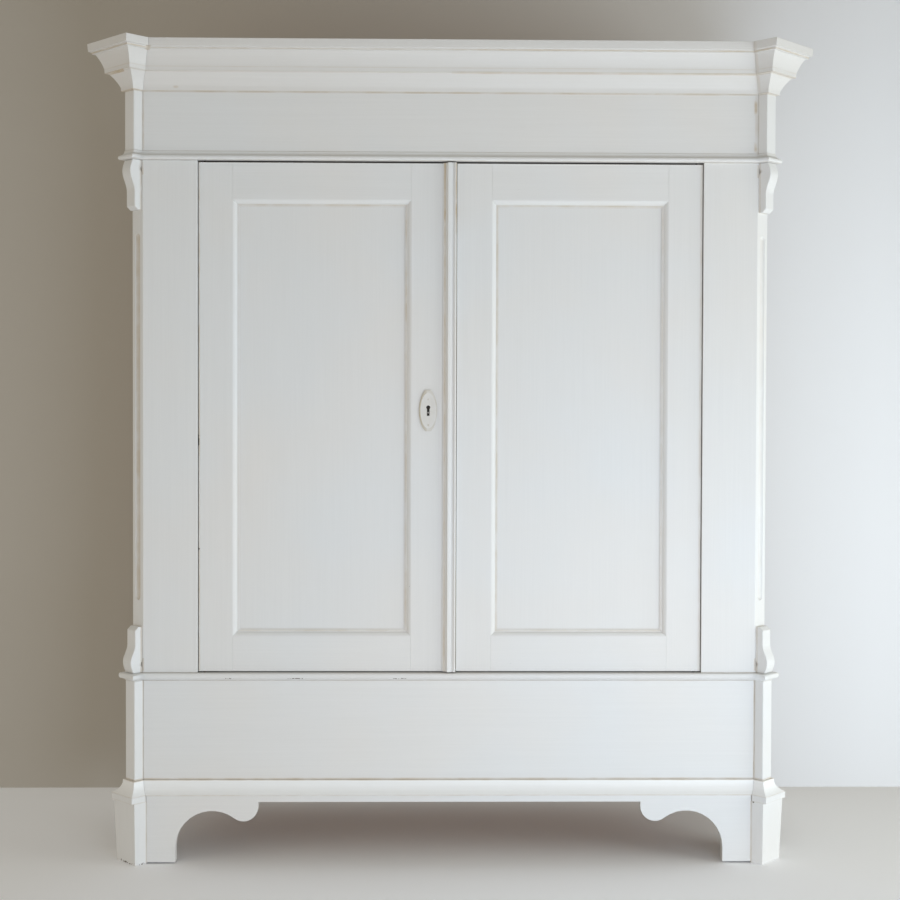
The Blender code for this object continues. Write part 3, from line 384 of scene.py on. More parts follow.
@dataclass(frozen=True)
class OldOilPaint:
    """White oil paint, brushed by hand on planed softwood and glazed with a thin brown wash.

    It gives a soft sheen that brush tracks break up, a white that drifts between warm and cool, brown
    lines where the wash stayed in the quirks, the same brown drawn as painted shade in a few hollows and
    under a few edges, and dark spots where an edge has lost its paint.
    """

    warm: str = "#E2E0DD"
    cool: str = "#E0E1E1"
    wash: str = "#B8A078"
    undercoat: str = "#51453A"
    roughness: tuple[float, float] = (0.39, 0.55)  # on the tracks' ridges and in their hollows
    dried_oil: float = 1.48  # its index of refraction
    bristle: float = 4 * MM  # tracks of a bristle are under 1 mm, drawn as coarse as they need to show
    stroke: float = 260 * MM
    track_shade: tuple[float, float] = (0.985, 1.01)
    track_relief: float = 0.35
    track_depth: float = 0.05 * MM
    cloud: float = 420 * MM
    wash_patch: float = 45 * MM
    thinnest_wash: float = 0.4
    flake: float = 6 * MM
    bare: tuple[float, float] = (0.74, 0.80)  # what flakes and wear come to where the paint thins and ends

    def coat(
        self, name: str, run: Run, wash_and_shade: tuple[Mark, ...] = (), wears: tuple[Mark, ...] = ()
    ) -> bpy.types.Material:
        """Mixes the paint for one kind of piece.

        Args:
            name: what the material is called.
            run: the way that the brush went.
            wash_and_shade: where the brown wash lies on these pieces, and where the same brown paints shade.
            wears: where their paint is gone.

        Returns:
            The material.
        """
        material, tree, shader = new_material(name)
        place = find_place(tree)
        track = noise(tree, stretch(tree, place, run, self.bristle, self.stroke), 1.0, 3.0, 0.6)
        colour = self._cloudy_white(tree, place, track)
        colour = self._lay_wash_and_shade(tree, place, colour, wash_and_shade)
        colour = self._wear(tree, place, colour, wears)
        tree.links.new(colour, shader.inputs["Base Color"])
        tree.links.new(remap(tree, track, MOST, self.roughness), shader.inputs["Roughness"])
        emboss(tree, shader, track, self.track_relief, self.track_depth)
        shader.inputs["IOR"].default_value = self.dried_oil
        return material

    def _cloudy_white(self, tree: bpy.types.NodeTree, place: Value, track: Value) -> Value:
        """Mixes the warm and the cool white in wide clouds, with the tracks a shade apart.

        Args:
            tree: the material's node tree.
            place: the point's socket.
            track: the brush tracks' socket.

        Returns:
            The colour's socket.
        """
        share = remap(tree, noise(tree, place, self.cloud, 2.0), MIDDLE)
        white = blend(tree, share, linear(self.warm), linear(self.cool))
        return blend(tree, 1.0, white, remap(tree, track, MOST, self.track_shade), "MULTIPLY")

    def _lay_wash_and_shade(self, tree: bpy.types.NodeTree, place: Value, colour: Value, marks: tuple[Mark, ...]) -> Value:
        """Lays the brown wash, and the painted shade drawn in the same brown, patchy along their lines.

        Args:
            tree: the material's node tree.
            place: the point's socket.
            colour: the paint's colour.
            marks: where the wash and the painted shade lie.

        Returns:
            The colour's socket.
        """
        if not marks:
            return colour
        thick = remap(tree, noise(tree, place, self.wash_patch, 4.0), MIDDLE, (self.thinnest_wash, 1.0))
        share = compute(tree, "MULTIPLY", strongest(tree, place, marks), thick, clamp=True)
        return blend(tree, share, colour, linear(self.wash))

    def _wear(self, tree: bpy.types.NodeTree, place: Value, colour: Value, wears: tuple[Mark, ...]) -> Value:
        """Takes the paint off in small ragged spots inside each zone.

        Args:
            tree: the material's node tree.
            place: the point's socket.
            colour: the paint's colour.
            wears: where it is worn.

        Returns:
            The colour's socket.
        """
        if not wears:
            return colour
        flakes = noise(tree, place, self.flake, 5.0, 0.65)
        gone = remap(tree, compute(tree, "ADD", flakes, strongest(tree, place, wears)), self.bare)
        return blend(tree, gone, colour, linear(self.undercoat))


@dataclass(frozen=True)
class Nails:
    """Rows of nail heads in a flat board, evenly spaced along two axes, with a dark stain round each."""

    axes: tuple[int, int]
    first: tuple[float, float]
    steps: tuple[float, float]
    outer_y: float  # the heads show from this face on
    head: float = 3.5 * MM
    stain: float = 5 * MM
    iron: str = "#2E2622"

    def heads(self, tree: bpy.types.NodeTree, place: Value) -> Value:
        """Finds the share of iron at each point.

        Args:
            tree: the material's node tree.
            place: the point's socket.

        Returns:
            The share's socket.
        """
        parts = add_node(tree, "ShaderNodeSeparateXYZ", {}, {0: place}).outputs
        offsets = []
        for axis, first, step in zip(self.axes, self.first, self.steps):
            wrapped = compute(tree, "WRAP", parts[axis], first + step / 2, first - step / 2)
            offsets.append(compute(tree, "SUBTRACT", wrapped, first))
        flat = add_node(tree, "ShaderNodeCombineXYZ", {}, dict(enumerate(offsets))).outputs[0]
        away = compute_vector(tree, "LENGTH", flat)
        head = remap(tree, away, (self.head, self.head + self.stain), (1.0, 0.0))
        outside = compute(tree, "GREATER_THAN", parts[1], self.outer_y)
        return compute(tree, "MULTIPLY", head, outside)


@dataclass(frozen=True)
class BarePine:
    """Sawn and planed pine, never painted, gone brown with age.

    It gives long early and late wood bands along the board, a few knots and a dry, even dullness.
    """

    early: str = "#B48C60"
    late: str = "#8A6139"
    knot: str = "#5A3B22"
    roughness: float = 0.68
    grain_stretch: float = 1 / 0.06  # how much longer than wide the grain's figure is
    bend: float = 1 / 9  # from one bend of the grain to the next
    ring: float = 14 * MM
    bend_rings: float = 0.45  # how far the bends shift the rings
    pore: float = 2.5 * MM
    pore_share: float = 0.35  # of the colour, beside the rings' share
    pore_relief: float = 0.3
    pore_depth: float = 0.15 * MM
    knot_step: tuple[float, float] = (0.24, 0.5)  # from knot to knot, across and along the board
    knot_edge: tuple[float, float] = (0.03, 0.07)  # as a share of that

    def boards(self, name: str, run: Run, nails: Nails | None = None) -> bpy.types.Material:
        """Makes the wood for boards that run one way.

        Args:
            name: what the material is called.
            run: the way that the grain goes.
            nails: the rows of nail heads in it, if it has any.

        Returns:
            The material.
        """
        material, tree, shader = new_material(name)
        place = find_place(tree)
        along = stretch(tree, place, run, 1.0, self.grain_stretch)
        drift = noise(tree, along, self.bend, 3.0, twist=0.6)
        rings = compute(tree, "SINE", compute(tree, "MULTIPLY", drift, self.bend_rings / self.ring))
        pores = noise(tree, along, self.pore, 2.0)
        shares = {0: self.pore_share, 2: remap(tree, rings, (-1.0, 1.0)), 3: pores}
        figure = add_node(tree, "ShaderNodeMix", {}, shares).outputs[0]
        colour = blend(tree, figure, linear(self.early), linear(self.late))
        cells = {"Vector": stretch(tree, place, run, *self.knot_step), "Scale": 1.0}
        from_knot = add_node(tree, "ShaderNodeTexVoronoi", {}, cells).outputs[0]
        colour = blend(tree, remap(tree, from_knot, self.knot_edge, (1.0, 0.0)), colour, linear(self.knot))
        if nails:
            colour = blend(tree, nails.heads(tree, place), colour, linear(nails.iron))
        tree.links.new(colour, shader.inputs["Base Color"])
        shader.inputs["Roughness"].default_value = self.roughness
        emboss(tree, shader, pores, self.pore_relief, self.pore_depth)
        return material


@dataclass(frozen=True)
class ForgedIron:
    """Hand-forged iron, browned by age.

    It gives a dark grey, uneven metal with dull rust in patches.
    """

    metal: str = "#4B4845"
    rust: str = "#5E4030"
    patch: float = 14 * MM
    rust_edge: tuple[float, float] = (0.5, 0.62)  # of the patches, where the rust begins and is whole
    metallic: tuple[float, float] = (1.0, 0.35)  # of the metal and of its rust
    roughness: tuple[float, float] = (0.45, 0.8)  # the same
    dent: float = 5 * MM
    dent_relief: float = 0.4
    dent_depth: float = 0.2 * MM

    def fitting(self, name: str) -> bpy.types.Material:
        """Makes the iron.

        Args:
            name: what the material is called.

        Returns:
            The material.
        """
        material, tree, shader = new_material(name)
        place = find_place(tree)
        rusty = remap(tree, noise(tree, place, self.patch, 5.0), self.rust_edge)
        tree.links.new(blend(tree, rusty, linear(self.metal), linear(self.rust)), shader.inputs["Base Color"])
        for name_of_input, ends in (("Metallic", self.metallic), ("Roughness", self.roughness)):
            tree.links.new(remap(tree, rusty, (0.0, 1.0), ends), shader.inputs[name_of_input])
        emboss(tree, shader, noise(tree, place, self.dent, 2.0), self.dent_relief, self.dent_depth)
        return material


# Modelling helpers


def deselect() -> None:
    """Clears the selection."""
    bpy.ops.object.select_all(action="DESELECT")


def take(piece: bpy.types.Object) -> None:
    """Makes a piece the only one selected, and active.

    Args:
        piece: the piece.
    """
    deselect()
    piece.select_set(True)
    bpy.context.view_layer.objects.active = piece


def dress(piece: bpy.types.Object, material: bpy.types.Material) -> bpy.types.Object:
    """Gives a piece one material in place of its own.

    Args:
        piece: the piece or CAD node.
        material: its finish.

    Returns:
        The same piece.
    """
    slots = piece.data.materials
    slots.clear()
    slots.append(material)
    return piece


def dress_node(node: str, material: bpy.types.Material) -> None:
    """Gives a CAD node its finish."""
    dress(frame["nodes"][node], material)
    log.info("%s: %s", node, material.name)


def refine(
    node: str,
    material: bpy.types.Material,
    edge: float = 0.0,
    turn: float = 38,
    reach: tuple[float, float, float] = (0.0, 0.0, 0.0),
) -> bpy.types.Object:
    """Stands a smooth copy of a CAD node in its place, with softer edges.

    Args:
        node: the CAD node.
        material: the copy's finish.
        edge: how wide its edges are rounded, in metres.
        turn: the angle between faces above which an edge stays sharp, in degrees.
        reach: how much farther the copy reaches at both ends of each axis, where paint fills a joint.

    Returns:
        The copy.
    """
    source = frame["nodes"][node]
    piece = bpy.data.objects.new(f"{node}_smoothed", source.data.copy())
    bpy.context.scene.collection.objects.link(piece)
    take(piece)
    bpy.ops.object.mode_set(mode="EDIT")
    bpy.ops.mesh.select_all(action="SELECT")
    bpy.ops.mesh.remove_doubles(threshold=WELD)
    bpy.ops.mesh.normals_make_consistent(inside=False)
    bpy.ops.mesh.dissolve_limited(angle_limit=math.radians(FLAT))
    low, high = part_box(node)
    grown = [1 + 2 * more / (end - start) for more, start, end in zip(reach, low, high)]
    bpy.ops.transform.resize(value=grown, center_override=(low + high) / 2)
    bpy.ops.object.mode_set(mode="OBJECT")
    if edge:
        bevel = piece.modifiers.new("soft_edges", "BEVEL")
        bevel.width = edge
        bevel.segments = 3
        bevel.limit_method = "ANGLE"
        bevel.angle_limit = math.radians(turn)
        bpy.ops.object.modifier_apply(modifier=bevel.name)
    bpy.ops.object.shade_smooth_by_angle(angle=math.radians(turn))
    even = piece.modifiers.new("even_shading", "WEIGHTED_NORMAL")
    even.keep_sharp = True
    bpy.ops.object.modifier_apply(modifier=even.name)
    dress(piece, material)
    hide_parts(node)
    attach(piece, source["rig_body"])
    log.info("%s: %s", piece.name, material.name)
    return piece


def add_piece(name: str, material: bpy.types.Material, body: str) -> bpy.types.Object:
    """Finishes the active new piece: applies its place, dresses it and lets it ride.

    Args:
        name: the piece's name.
        material: its finish.
        body: the CAD body that it moves with.

    Returns:
        The piece.
    """
    piece = bpy.context.object
    piece.name = name
    piece.data.name = name
    take(piece)
    bpy.ops.object.transform_apply(location=True, rotation=True, scale=True)
    dress(piece, material)
    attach(piece, body)
    log.info("%s: %s", name, material.name)
    return piece


def main() -> None:
    """Builds and dresses the wardrobe and its studio, in order from the floor up."""
    logging.basicConfig(level=logging.INFO, format="%(message)s")
    paint = OldOilPaint()
    pine = BarePine()
    iron = ForgedIron()
    Plinth().dress(paint)
    BaseBox().dress(paint, pine)
    Body().dress(paint, pine)
    Crown().dress(paint, pine)
    Doors().dress(paint)
    Ironwork().dress(iron)
    Studio().build()


@dataclass
class Plinth:
    """The scalloped apron, its side aprons and the canted feet."""

    cap: float = 15 * MM  # height of a foot's wider top
    chips: tuple[Mark, ...] = (
        Mark(0.3, (Spot((-0.764, -0.045, 0.029), (5 * MM, 20 * MM, 5 * MM)),)),  # low on the left foot
        Mark(0.2, (height(0, 3 * MM, 6 * MM), LEFT_HALF)),  # along its lower edge
        Mark(0.3, (Spot((0.7234, -0.03, 0.147), (4 * MM, 20 * MM, 3 * MM)),)),  # under the right foot's cap
    )

    def dress(self, paint: OldOilPaint) -> None:
        """Paints the plinth.

        Args:
            paint: the paint.
        """
        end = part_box("front_apron")[1].x
        under_cap = BASE_FOOT - self.cap
        beside_foot = Mark(0.4, (across(end, MM), height(under_cap / 2, under_cap / 2, MM)))
        marks = (Mark(0.3, (height(BASE_FOOT, MM),)), beside_foot)
        dress_node("front_apron", paint.coat("brushed_oil_paint_apron", Run.LEVEL, marks))
        back = paint.coat("brushed_oil_paint_side_apron", Run.FRONT_TO_BACK)
        foot = paint.coat(
            "brushed_oil_paint_foot",
            Run.UPRIGHT,
            (Mark(0.25, (height(under_cap),)), Mark(0.3, (across(end, MM, 2 * MM),))),
            self.chips,
        )
        for side, _ in SIDES:
            dress_node(f"side_apron_{side}", back)
            refine(f"front_foot_{side}", foot, 1.5 * MM, reach=(JOINT, 0, 0))


@dataclass
class BaseBox:
    """The low box under the doors, with its moulding, corner blocks and ledge."""

    nose: float = 12 * MM  # from the ledge's top to where its round nose is worn
    nose_depth: float = -11 * MM
    # how strong each worn place on the nose is, where it lies and how far it reaches each way
    worn: tuple[tuple[float, float, float], ...] = (
        (0.25, -0.524, 24 * MM),
        (0.27, -0.365, 42 * MM),
        (0.24, -0.124, 38 * MM),
    )
    moulding_light_white: str = "#F0F0EF"  # painted light: a whiter paint for the light that the moulding's cove catches

    def dress(self, paint: OldOilPaint, pine: BarePine) -> None:
        """Paints the box and leaves its floor bare.

        Args:
            paint: the paint.
            pine: the bare wood.
        """
        line = Mark(0.45, (height(BASE_TOP + 1.5 * MM, 2 * MM),))
        # painted light: the moulding gets a whiter copy of the paint
        lit_paint = replace(paint, warm=self.moulding_light_white, cool=self.moulding_light_white)
        marks = (line, Mark(0.3, (height(BASE_FOOT),)))
        moulding = lit_paint.coat("brushed_oil_paint_base_moulding", Run.LEVEL, marks)
        for side in ("front", "left", "right"):
            refine(f"base_moulding_{side}", moulding, reach=(0, 0, JOINT))
        board = paint.coat(
            "brushed_oil_paint_base_board",
            Run.LEVEL,
            (
                line,
                Mark(0.5, (across(FRONT_END, 1.5 * MM), RIGHT_HALF)),
                Mark(0.3, (across(FRONT_END, MM), LEFT_HALF)),
                Mark(0.15, (height(LEDGE_LOW, MM),)),
            ),
        )
        dress_node("base_front_board", board)
        side_board = paint.coat("brushed_oil_paint_base_side", Run.FRONT_TO_BACK, (line,))
        marks = (line, Mark(0.3, (across(FRONT_END, 1.5 * MM, MM),)))
        block = paint.coat("brushed_oil_paint_base_block", Run.UPRIGHT, marks)
        for side, _ in SIDES:
            dress_node(f"base_side_{side}", side_board)
            refine(f"base_corner_block_{side}", block, 1.2 * MM, reach=(JOINT, 0, JOINT))
        level = LEDGE_TOP - self.nose
        worn = tuple(
            Mark(strength, (Spot((x, self.nose_depth, level), (reach, 6 * MM, 2 * MM)),))
            for strength, x, reach in self.worn
        )
        marks = (Mark(0.2, (height(LEDGE_LOW),)),)
        ledge = paint.coat("brushed_oil_paint_lower_ledge", Run.LEVEL, marks, worn)
        refine("lower_ledge", ledge)
        dress_node("floor_panel", pine.boards("old_pine_floor", Run.LEVEL))


@dataclass
class Body:
    """The fixed stiles with their flutes and brackets, the sides, the back and the shelf inside."""

    flute_top: float = 171 * MM  # below the upper ledge
    flute_length: float = 877 * MM
    flute_half_width: float = 8 * MM
    flute_wash: tuple[float, float] = (0.4, 0.12)  # on the left and on the right
    scroll: float = 20 * MM  # from a ledge to the middle of the hollow behind a bracket's swelling
    scroll_half: float = 14 * MM
    hollow: float = 6.8 * MM  # the hollow's surface lies nearer to the cant than this
    filler: float = 4.2 * MM  # how far it is filled out
    lowest_nails: float = 40 * MM  # above the base's top
    nail_step: float = 0.24

    def dress(self, paint: OldOilPaint, pine: BarePine) -> None:
        """Paints the outside and leaves the back and the inside bare.

        Args:
            paint: the paint.
            pine: the bare wood.
        """
        side_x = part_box("side_panel_right")[1].x
        cant = (side_x - FRONT_END) / 2
        along_cant = (FRONT_END + 2 * cant) * DIAGONAL
        middle = CROWN_LOW - self.flute_top - self.flute_length / 2
        flute = (
            before_cant(-4 * MM, 2 * MM, 2 * MM),
            Layer((DIAGONAL, DIAGONAL, 0), along_cant, self.flute_half_width, 2 * MM),
            height(middle, self.flute_length / 2, MM),
        )
        scrolls = (CROWN_LOW - self.scroll, LEDGE_TOP + self.scroll)
        behind_scrolls = (height(middle_z, self.scroll_half, 2 * MM) for middle_z in scrolls)
        stile = paint.coat(
            "brushed_oil_paint_stile",
            Run.UPRIGHT,
            (
                *(Mark(wash, (*flute, half)) for wash, half in zip(self.flute_wash, (LEFT_HALF, RIGHT_HALF))),
                *(Mark(0.4, (before_cant(0, MM, MM), level)) for level in behind_scrolls),
                Mark(0.5, (height(LEDGE_TOP),)),
                # painted shade: a dark line on the stiles right under the upper ledge's nose
                Mark(0.3, (height(CROWN_LOW),)),
            ),
        )
        marks = (Mark(0.4, (before_cant(2 * MM, 2 * MM, 2.5 * MM),)),)
        bracket = paint.coat("brushed_oil_paint_bracket", Run.UPRIGHT, marks)
        side_panel = paint.coat("brushed_oil_paint_side", Run.UPRIGHT)
        for side, sign in SIDES:
            refine(f"corner_stile_{side}", stile)
            for end in ("upper", "lower"):
                piece = refine(f"{end}_console_{side}", bracket, 0.8 * MM)
                self._fill_scroll(piece, sign)
            dress_node(f"side_panel_{side}", side_panel)
        near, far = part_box("back_board_1")
        half = (far.x - near.x) / 2
        first = (near.x + half, BASE_TOP + self.lowest_nails)
        nails = Nails((0, 2), first, (half, self.nail_step), far.y - MM)
        upright = pine.boards("old_pine_back", Run.UPRIGHT, nails)
        for i in (1, 2, 3):
            dress_node(f"back_board_{i}", upright)
        dress_node("hat_shelf", pine.boards("old_pine_shelf", Run.LEVEL))
        bearer = pine.boards("old_pine_bearer", Run.FRONT_TO_BACK)
        for side, _ in SIDES:
            dress_node(f"shelf_bearer_{side}", bearer)
        refine("hanging_rail", pine.boards("turned_pine_rail", Run.LEVEL))

    def _fill_scroll(self, bracket: bpy.types.Object, sign: int) -> None:
        """Fills the hollow behind a bracket's swelling, as thick paint and filler leave it.

        Args:
            bracket: the bracket's copy.
            sign: -1 on the left and 1 on the right.
        """
        take(bracket)
        for vertex in bracket.data.vertices:
            out = (sign * vertex.co.x - (vertex.co.y - FACE_Y) - FRONT_END) * DIAGONAL
            vertex.select = MM < out < self.hollow
        for face in bracket.data.polygons:
            face.select = False
        for edge in bracket.data.edges:
            edge.select = False
        bpy.ops.object.mode_set(mode="EDIT")
        bpy.ops.mesh.select_mode(type="VERT")
        push = -self.filler * DIAGONAL
        bpy.ops.transform.translate(value=(sign * push, -push, 0))
        bpy.ops.object.mode_set(mode="OBJECT")


@dataclass
class Crown:
    """The ledge over the doors, the frieze and the cornice."""

    fillet: tuple[float, float] = (41.4 * MM, 51.4 * MM)  # its two edges, above the cornice's foot
    fillet_out: float = 8 * MM  # from the body's side out to where the cornice's own ends begin
    step: float = 22 * MM  # from the top down to the small step under the flat band
    cornice_shade_white: str = "#DBD9D6"  # painted shade: a greyer white for the shade that the cornice lies in
    # the brown stains at the frieze's right end: how far up each is, and half its height
    stains: tuple[tuple[float, float], ...] = ((110 * MM, 6 * MM), (16 * MM, 2 * MM))
    # a brown spot low on the cornice, near its left end: x, depth and height above its foot
    spot: tuple[float, float, float] = (-0.651, -0.01, 9 * MM)

    def dress(self, paint: OldOilPaint, pine: BarePine) -> None:
        """Paints the crown and leaves its top bare.

        Args:
            paint: the paint.
            pine: the bare wood.
        """
        # a wash line at the frieze's foot, and painted shade along the ledge's underside, under its nose
        marks = (Mark(0.18, (height(FRIEZE_LOW),)), Mark(0.2, (height(CROWN_LOW),)))
        ledge = paint.coat("brushed_oil_paint_upper_ledge", Run.LEVEL, marks)
        refine("upper_ledge", ledge)
        foot = Mark(0.45, (height(CORNICE_LOW - 0.5 * MM, 0.8 * MM),))
        stained = (across(FRONT_END - 6 * MM, MM, 5 * MM), RIGHT_HALF)
        board = paint.coat(
            "brushed_oil_paint_frieze",
            Run.LEVEL,
            (
                foot,
                Mark(0.15, (height(FRIEZE_LOW),)),
                Mark(0.4, (across(FRONT_END - MM, MM, 2.5 * MM), LEFT_HALF)),
                Mark(0.25, (across(FRONT_END - 3 * MM, 3 * MM, 3 * MM), RIGHT_HALF)),
                *(Mark(0.85, (*stained, height(FRIEZE_LOW + up, half, 16 * MM))) for up, half in self.stains),
            ),
        )
        dress_node("frieze_board", board)
        side_board = paint.coat("brushed_oil_paint_frieze_side", Run.FRONT_TO_BACK, (foot,))
        side_line = Mark(0.25, (across(FRONT_END, 1.5 * MM, MM),))
        block = paint.coat("brushed_oil_paint_frieze_block", Run.UPRIGHT, (foot, side_line))
        for side, _ in SIDES:
            dress_node(f"frieze_side_{side}", side_board)
            refine(f"frieze_corner_block_{side}", block, 1.2 * MM, reach=(JOINT, 0, JOINT))
        low, high = (CORNICE_LOW + rise for rise in self.fillet)
        step = TOP - self.step
        mitre = (1, -math.tan(math.radians(22.5)), 0)  # a canted corner turns by 45 degrees
        # wash lines in the cornice's quirks; the lines under the flat band's step and at the fillet are
        # partly wash, partly painted shade under these edges, drawn stronger on the right
        lines = (
            foot,
            Mark(0.16, (height(low),)),
            Mark(0.16, (height(high),)),
            Mark(0.32, (height(step, 0.8 * MM),)),
            Mark(0.5, (height(step, MM), RIGHT_HALF)),
            Mark(0.4, (height(low, MM), RIGHT_HALF)),
            Mark(0.7, (height(step, 3 * MM, 2 * MM), Layer(mitre, FRONT_END, 3 * MM, 5 * MM), LEFT_HALF)),
            Mark(0.2, (Layer(mitre, FRONT_END + 2 * MM, 2 * MM, 6 * MM), RIGHT_HALF)),
        )
        # painted shade: the cornice gets a greyer copy of the paint
        shaded_paint = replace(paint, warm=self.cornice_shade_white, cool=self.cornice_shade_white)
        x, depth, up = self.spot
        spot = Mark(0.5, (Spot((x, depth, CORNICE_LOW + up), (9 * MM, 20 * MM, 4 * MM)),))
        front = shaded_paint.coat("brushed_oil_paint_cornice", Run.LEVEL, (*lines, spot))
        refine("cornice_front", front, reach=(JOINT, 0, 0))
        side_face = across(1, 1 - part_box("side_panel_right")[1].x - self.fillet_out, 4 * MM)
        corner = shaded_paint.coat(
            "brushed_oil_paint_cornice_corner",
            Run.FRONT_TO_BACK,
            (
                *lines,
                # partly painted shade: a darker line under the fillet on the left side's face
                Mark(0.75, (height(low - MM, 1.2 * MM), side_face, LEFT_HALF)),
                Mark(0.7, (height(CORNICE_LOW - 0.5 * MM, MM), LEFT_HALF)),
                Mark(0.5, (height(step, MM), LEFT_HALF)),
            ),
        )
        for side, _ in SIDES:
            refine(f"cornice_{side}", corner)
        dress_node("top_board", pine.boards("old_pine_top", Run.LEVEL))


@dataclass
class Doors:
    """The two framed doors, the closing strip and the keyhole plate."""

    foot: float = 12.5 * MM  # from a frame's inner edge to the middle of its moulding's flat foot
    foot_half: float = 1.5 * MM
    strip_more: float = 1.0 * MM  # of the strip's width, at each edge
    strip_left: float = 15 * MM  # from the middle to the brown line at its left edge
    strip_brown: float = 1.60  # where its edges are brownest
    stuck: float = 15.5 * MM  # width of the moulding
    # worn places on the left door's hinge edge: how strong, how high, how wide and how tall
    worn: tuple[tuple[float, float, float, float], ...] = (
        (0.3, 1.0045, 3 * MM, 26 * MM),
        (0.35, 0.747, 4 * MM, 4 * MM),
    )
    pins: tuple[float, ...] = (1.1042, 1.0427)  # how high the plate's pins are
    pin_x: float = -0.0531
    pin_radius: float = 2 * MM
    pin_sunk: float = 0.7 * MM  # how far a pin's middle lies behind the plate's face
    yellow_wash: str = "#A08C5C"  # the wash lies thicker on the plate

    def dress(self, paint: OldOilPaint) -> None:
        """Paints both doors.

        Args:
            paint: the paint.
        """
        for side, sign in SIDES:
            self._leaf(paint, side, sign)
        right_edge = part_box("closing_strip")[1].x
        left_line = (across(self.strip_left, 1.7 * MM), LEFT_HALF)
        brownest = height(self.strip_brown, 60 * MM, 80 * MM)
        strip = paint.coat(
            "brushed_oil_paint_strip",
            Run.UPRIGHT,
            (
                Mark(0.45, left_line),
                Mark(0.8, (*left_line, brownest)),
                Mark(0.25, (across(right_edge), RIGHT_HALF)),
                Mark(0.8, (across(right_edge, MM), RIGHT_HALF, brownest)),
            ),
        )
        refine("closing_strip", strip, reach=(self.strip_more, 0, 0))
        self._plate(paint)

    def _leaf(self, paint: OldOilPaint, side: str, sign: int) -> None:
        """Paints one door, with the wash in the foot of its moulding, and on the right door painted shade at
        the moulding's hinge side and along the hinge edge.

        Args:
            paint: the paint.
            side: the side that the door is on.
            sign: -1 on the left and 1 on the right.
        """
        panel_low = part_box(f"{side}_bottom_rail")[1].z - self.stuck
        rail_foot, top = (corner.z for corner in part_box(f"{side}_top_rail"))
        panel_high = rail_foot + self.stuck
        meeting = max(abs(corner.x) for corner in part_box(f"{side}_meeting_stile")) - self.stuck
        hinge_side = sorted(abs(corner.x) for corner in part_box(f"{side}_hinge_stile"))
        inner = hinge_side[0] + self.stuck
        edge = hinge_side[1]
        upright = height((panel_low + panel_high) / 2, (panel_high - panel_low) / 2, MM)
        half = (inner - meeting) / 2
        level = across(meeting + half, half, MM)
        upright_feet = (
            # wash in the moulding's upright feet; on the right door's hinge side it is stronger, as painted
            # shade in the recess
            Mark(0.12 if sign < 0 else 0.3, (across(inner - self.foot, self.foot_half), upright)),
            Mark(0.45, (across(meeting + self.foot, self.foot_half), upright)),
        )
        level_feet = (
            Mark(0.4, (height(panel_high - self.foot, self.foot_half), level)),
            Mark(0.35, (height(panel_low + self.foot, self.foot_half), level)),
        )
        panel = paint.coat(
            f"brushed_oil_paint_{side}_panel",
            Run.UPRIGHT,
            (
                Mark(0.15, (across(inner - self.stuck),)),
                Mark(0.25, (across(meeting + self.stuck),)),
                Mark(0.25, (height(panel_high - self.stuck),)),
                Mark(0.25, (height(panel_low + self.stuck),)),
            ),
        )
        dress_node(f"{side}_panel", panel)
        if sign < 0:
            side_line = Mark(0.5, (across(edge - 1.5 * MM, 1.5 * MM, MM),))
        else:
            # a soft band along the right door's hinge edge: partly wash, partly painted shade that the
            # stile's edge casts on it
            side_line = Mark(0.3, (across(edge, 3 * MM, 5 * MM),))
        worn = tuple(
            Mark(strength, (Spot((-edge, 6 * MM, z), (wide, 8 * MM, tall)),))
            for strength, z, wide, tall in self.worn
        )
        bare_top = Mark(0.6, (height(top, 0.6 * MM, 0.8 * MM),))
        wears = (bare_top, *worn) if sign < 0 else (bare_top,)
        stile = paint.coat(f"brushed_oil_paint_{side}_stile", Run.UPRIGHT, (*upright_feet, side_line), wears)
        rail = paint.coat(f"brushed_oil_paint_{side}_rail", Run.LEVEL, level_feet, (bare_top,))
        for part in ("hinge_stile", "meeting_stile"):
            refine(f"{side}_{part}", stile)
        for part in ("top_rail", "bottom_rail"):
            refine(f"{side}_{part}", rail, reach=(JOINT, 0, 0))

    def _plate(self, paint: OldOilPaint) -> None:
        """Paints the keyhole plate, browned along its left edge and at its tips, and pins it on.

        Args:
            paint: the paint.
        """
        low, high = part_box("escutcheon")
        middle = (low + high) / 2
        radii = ((high.x - low.x) / 2, 1.0, (high.z - low.z) / 2)
        shell = Spot((middle.x, 0, middle.z), radii, 0.95, 0.06, 0.06)
        cream = Spot((middle.x, 0, middle.z), radii, 0.0, 0.6, 0.6)
        plate = replace(paint, wash=self.yellow_wash).coat(
            "oil_paint_on_keyhole_plate",
            Run.UPRIGHT,
            (
                Mark(0.2, (cream,)),
                Mark(0.4, (shell,)),
                Mark(1.0, (shell, Layer((1, 0, 0), low.x, radii[0] * 0.7, 8 * MM, folded=False))),
                *(Mark(0.6, (Spot((self.pin_x, 0, z), (4 * MM, 1.0, 4 * MM)),)) for z in self.pins),
                *(Mark(0.55, (Spot((middle.x, 0, tip), (9 * MM, 1.0, 6 * MM)),)) for tip in (low.z, high.z)),
            ),
        )
        refine("escutcheon", plate, 0.4 * MM)
        for i, z in enumerate(self.pins):
            deselect()
            bpy.ops.mesh.primitive_uv_sphere_add(
                segments=20,
                ring_count=10,
                radius=self.pin_radius,
                location=(self.pin_x, low.y + self.pin_sunk, z),
            )
            bpy.ops.object.shade_smooth()
            add_piece(f"plate_pin_{i + 1}", plate, "left_door")


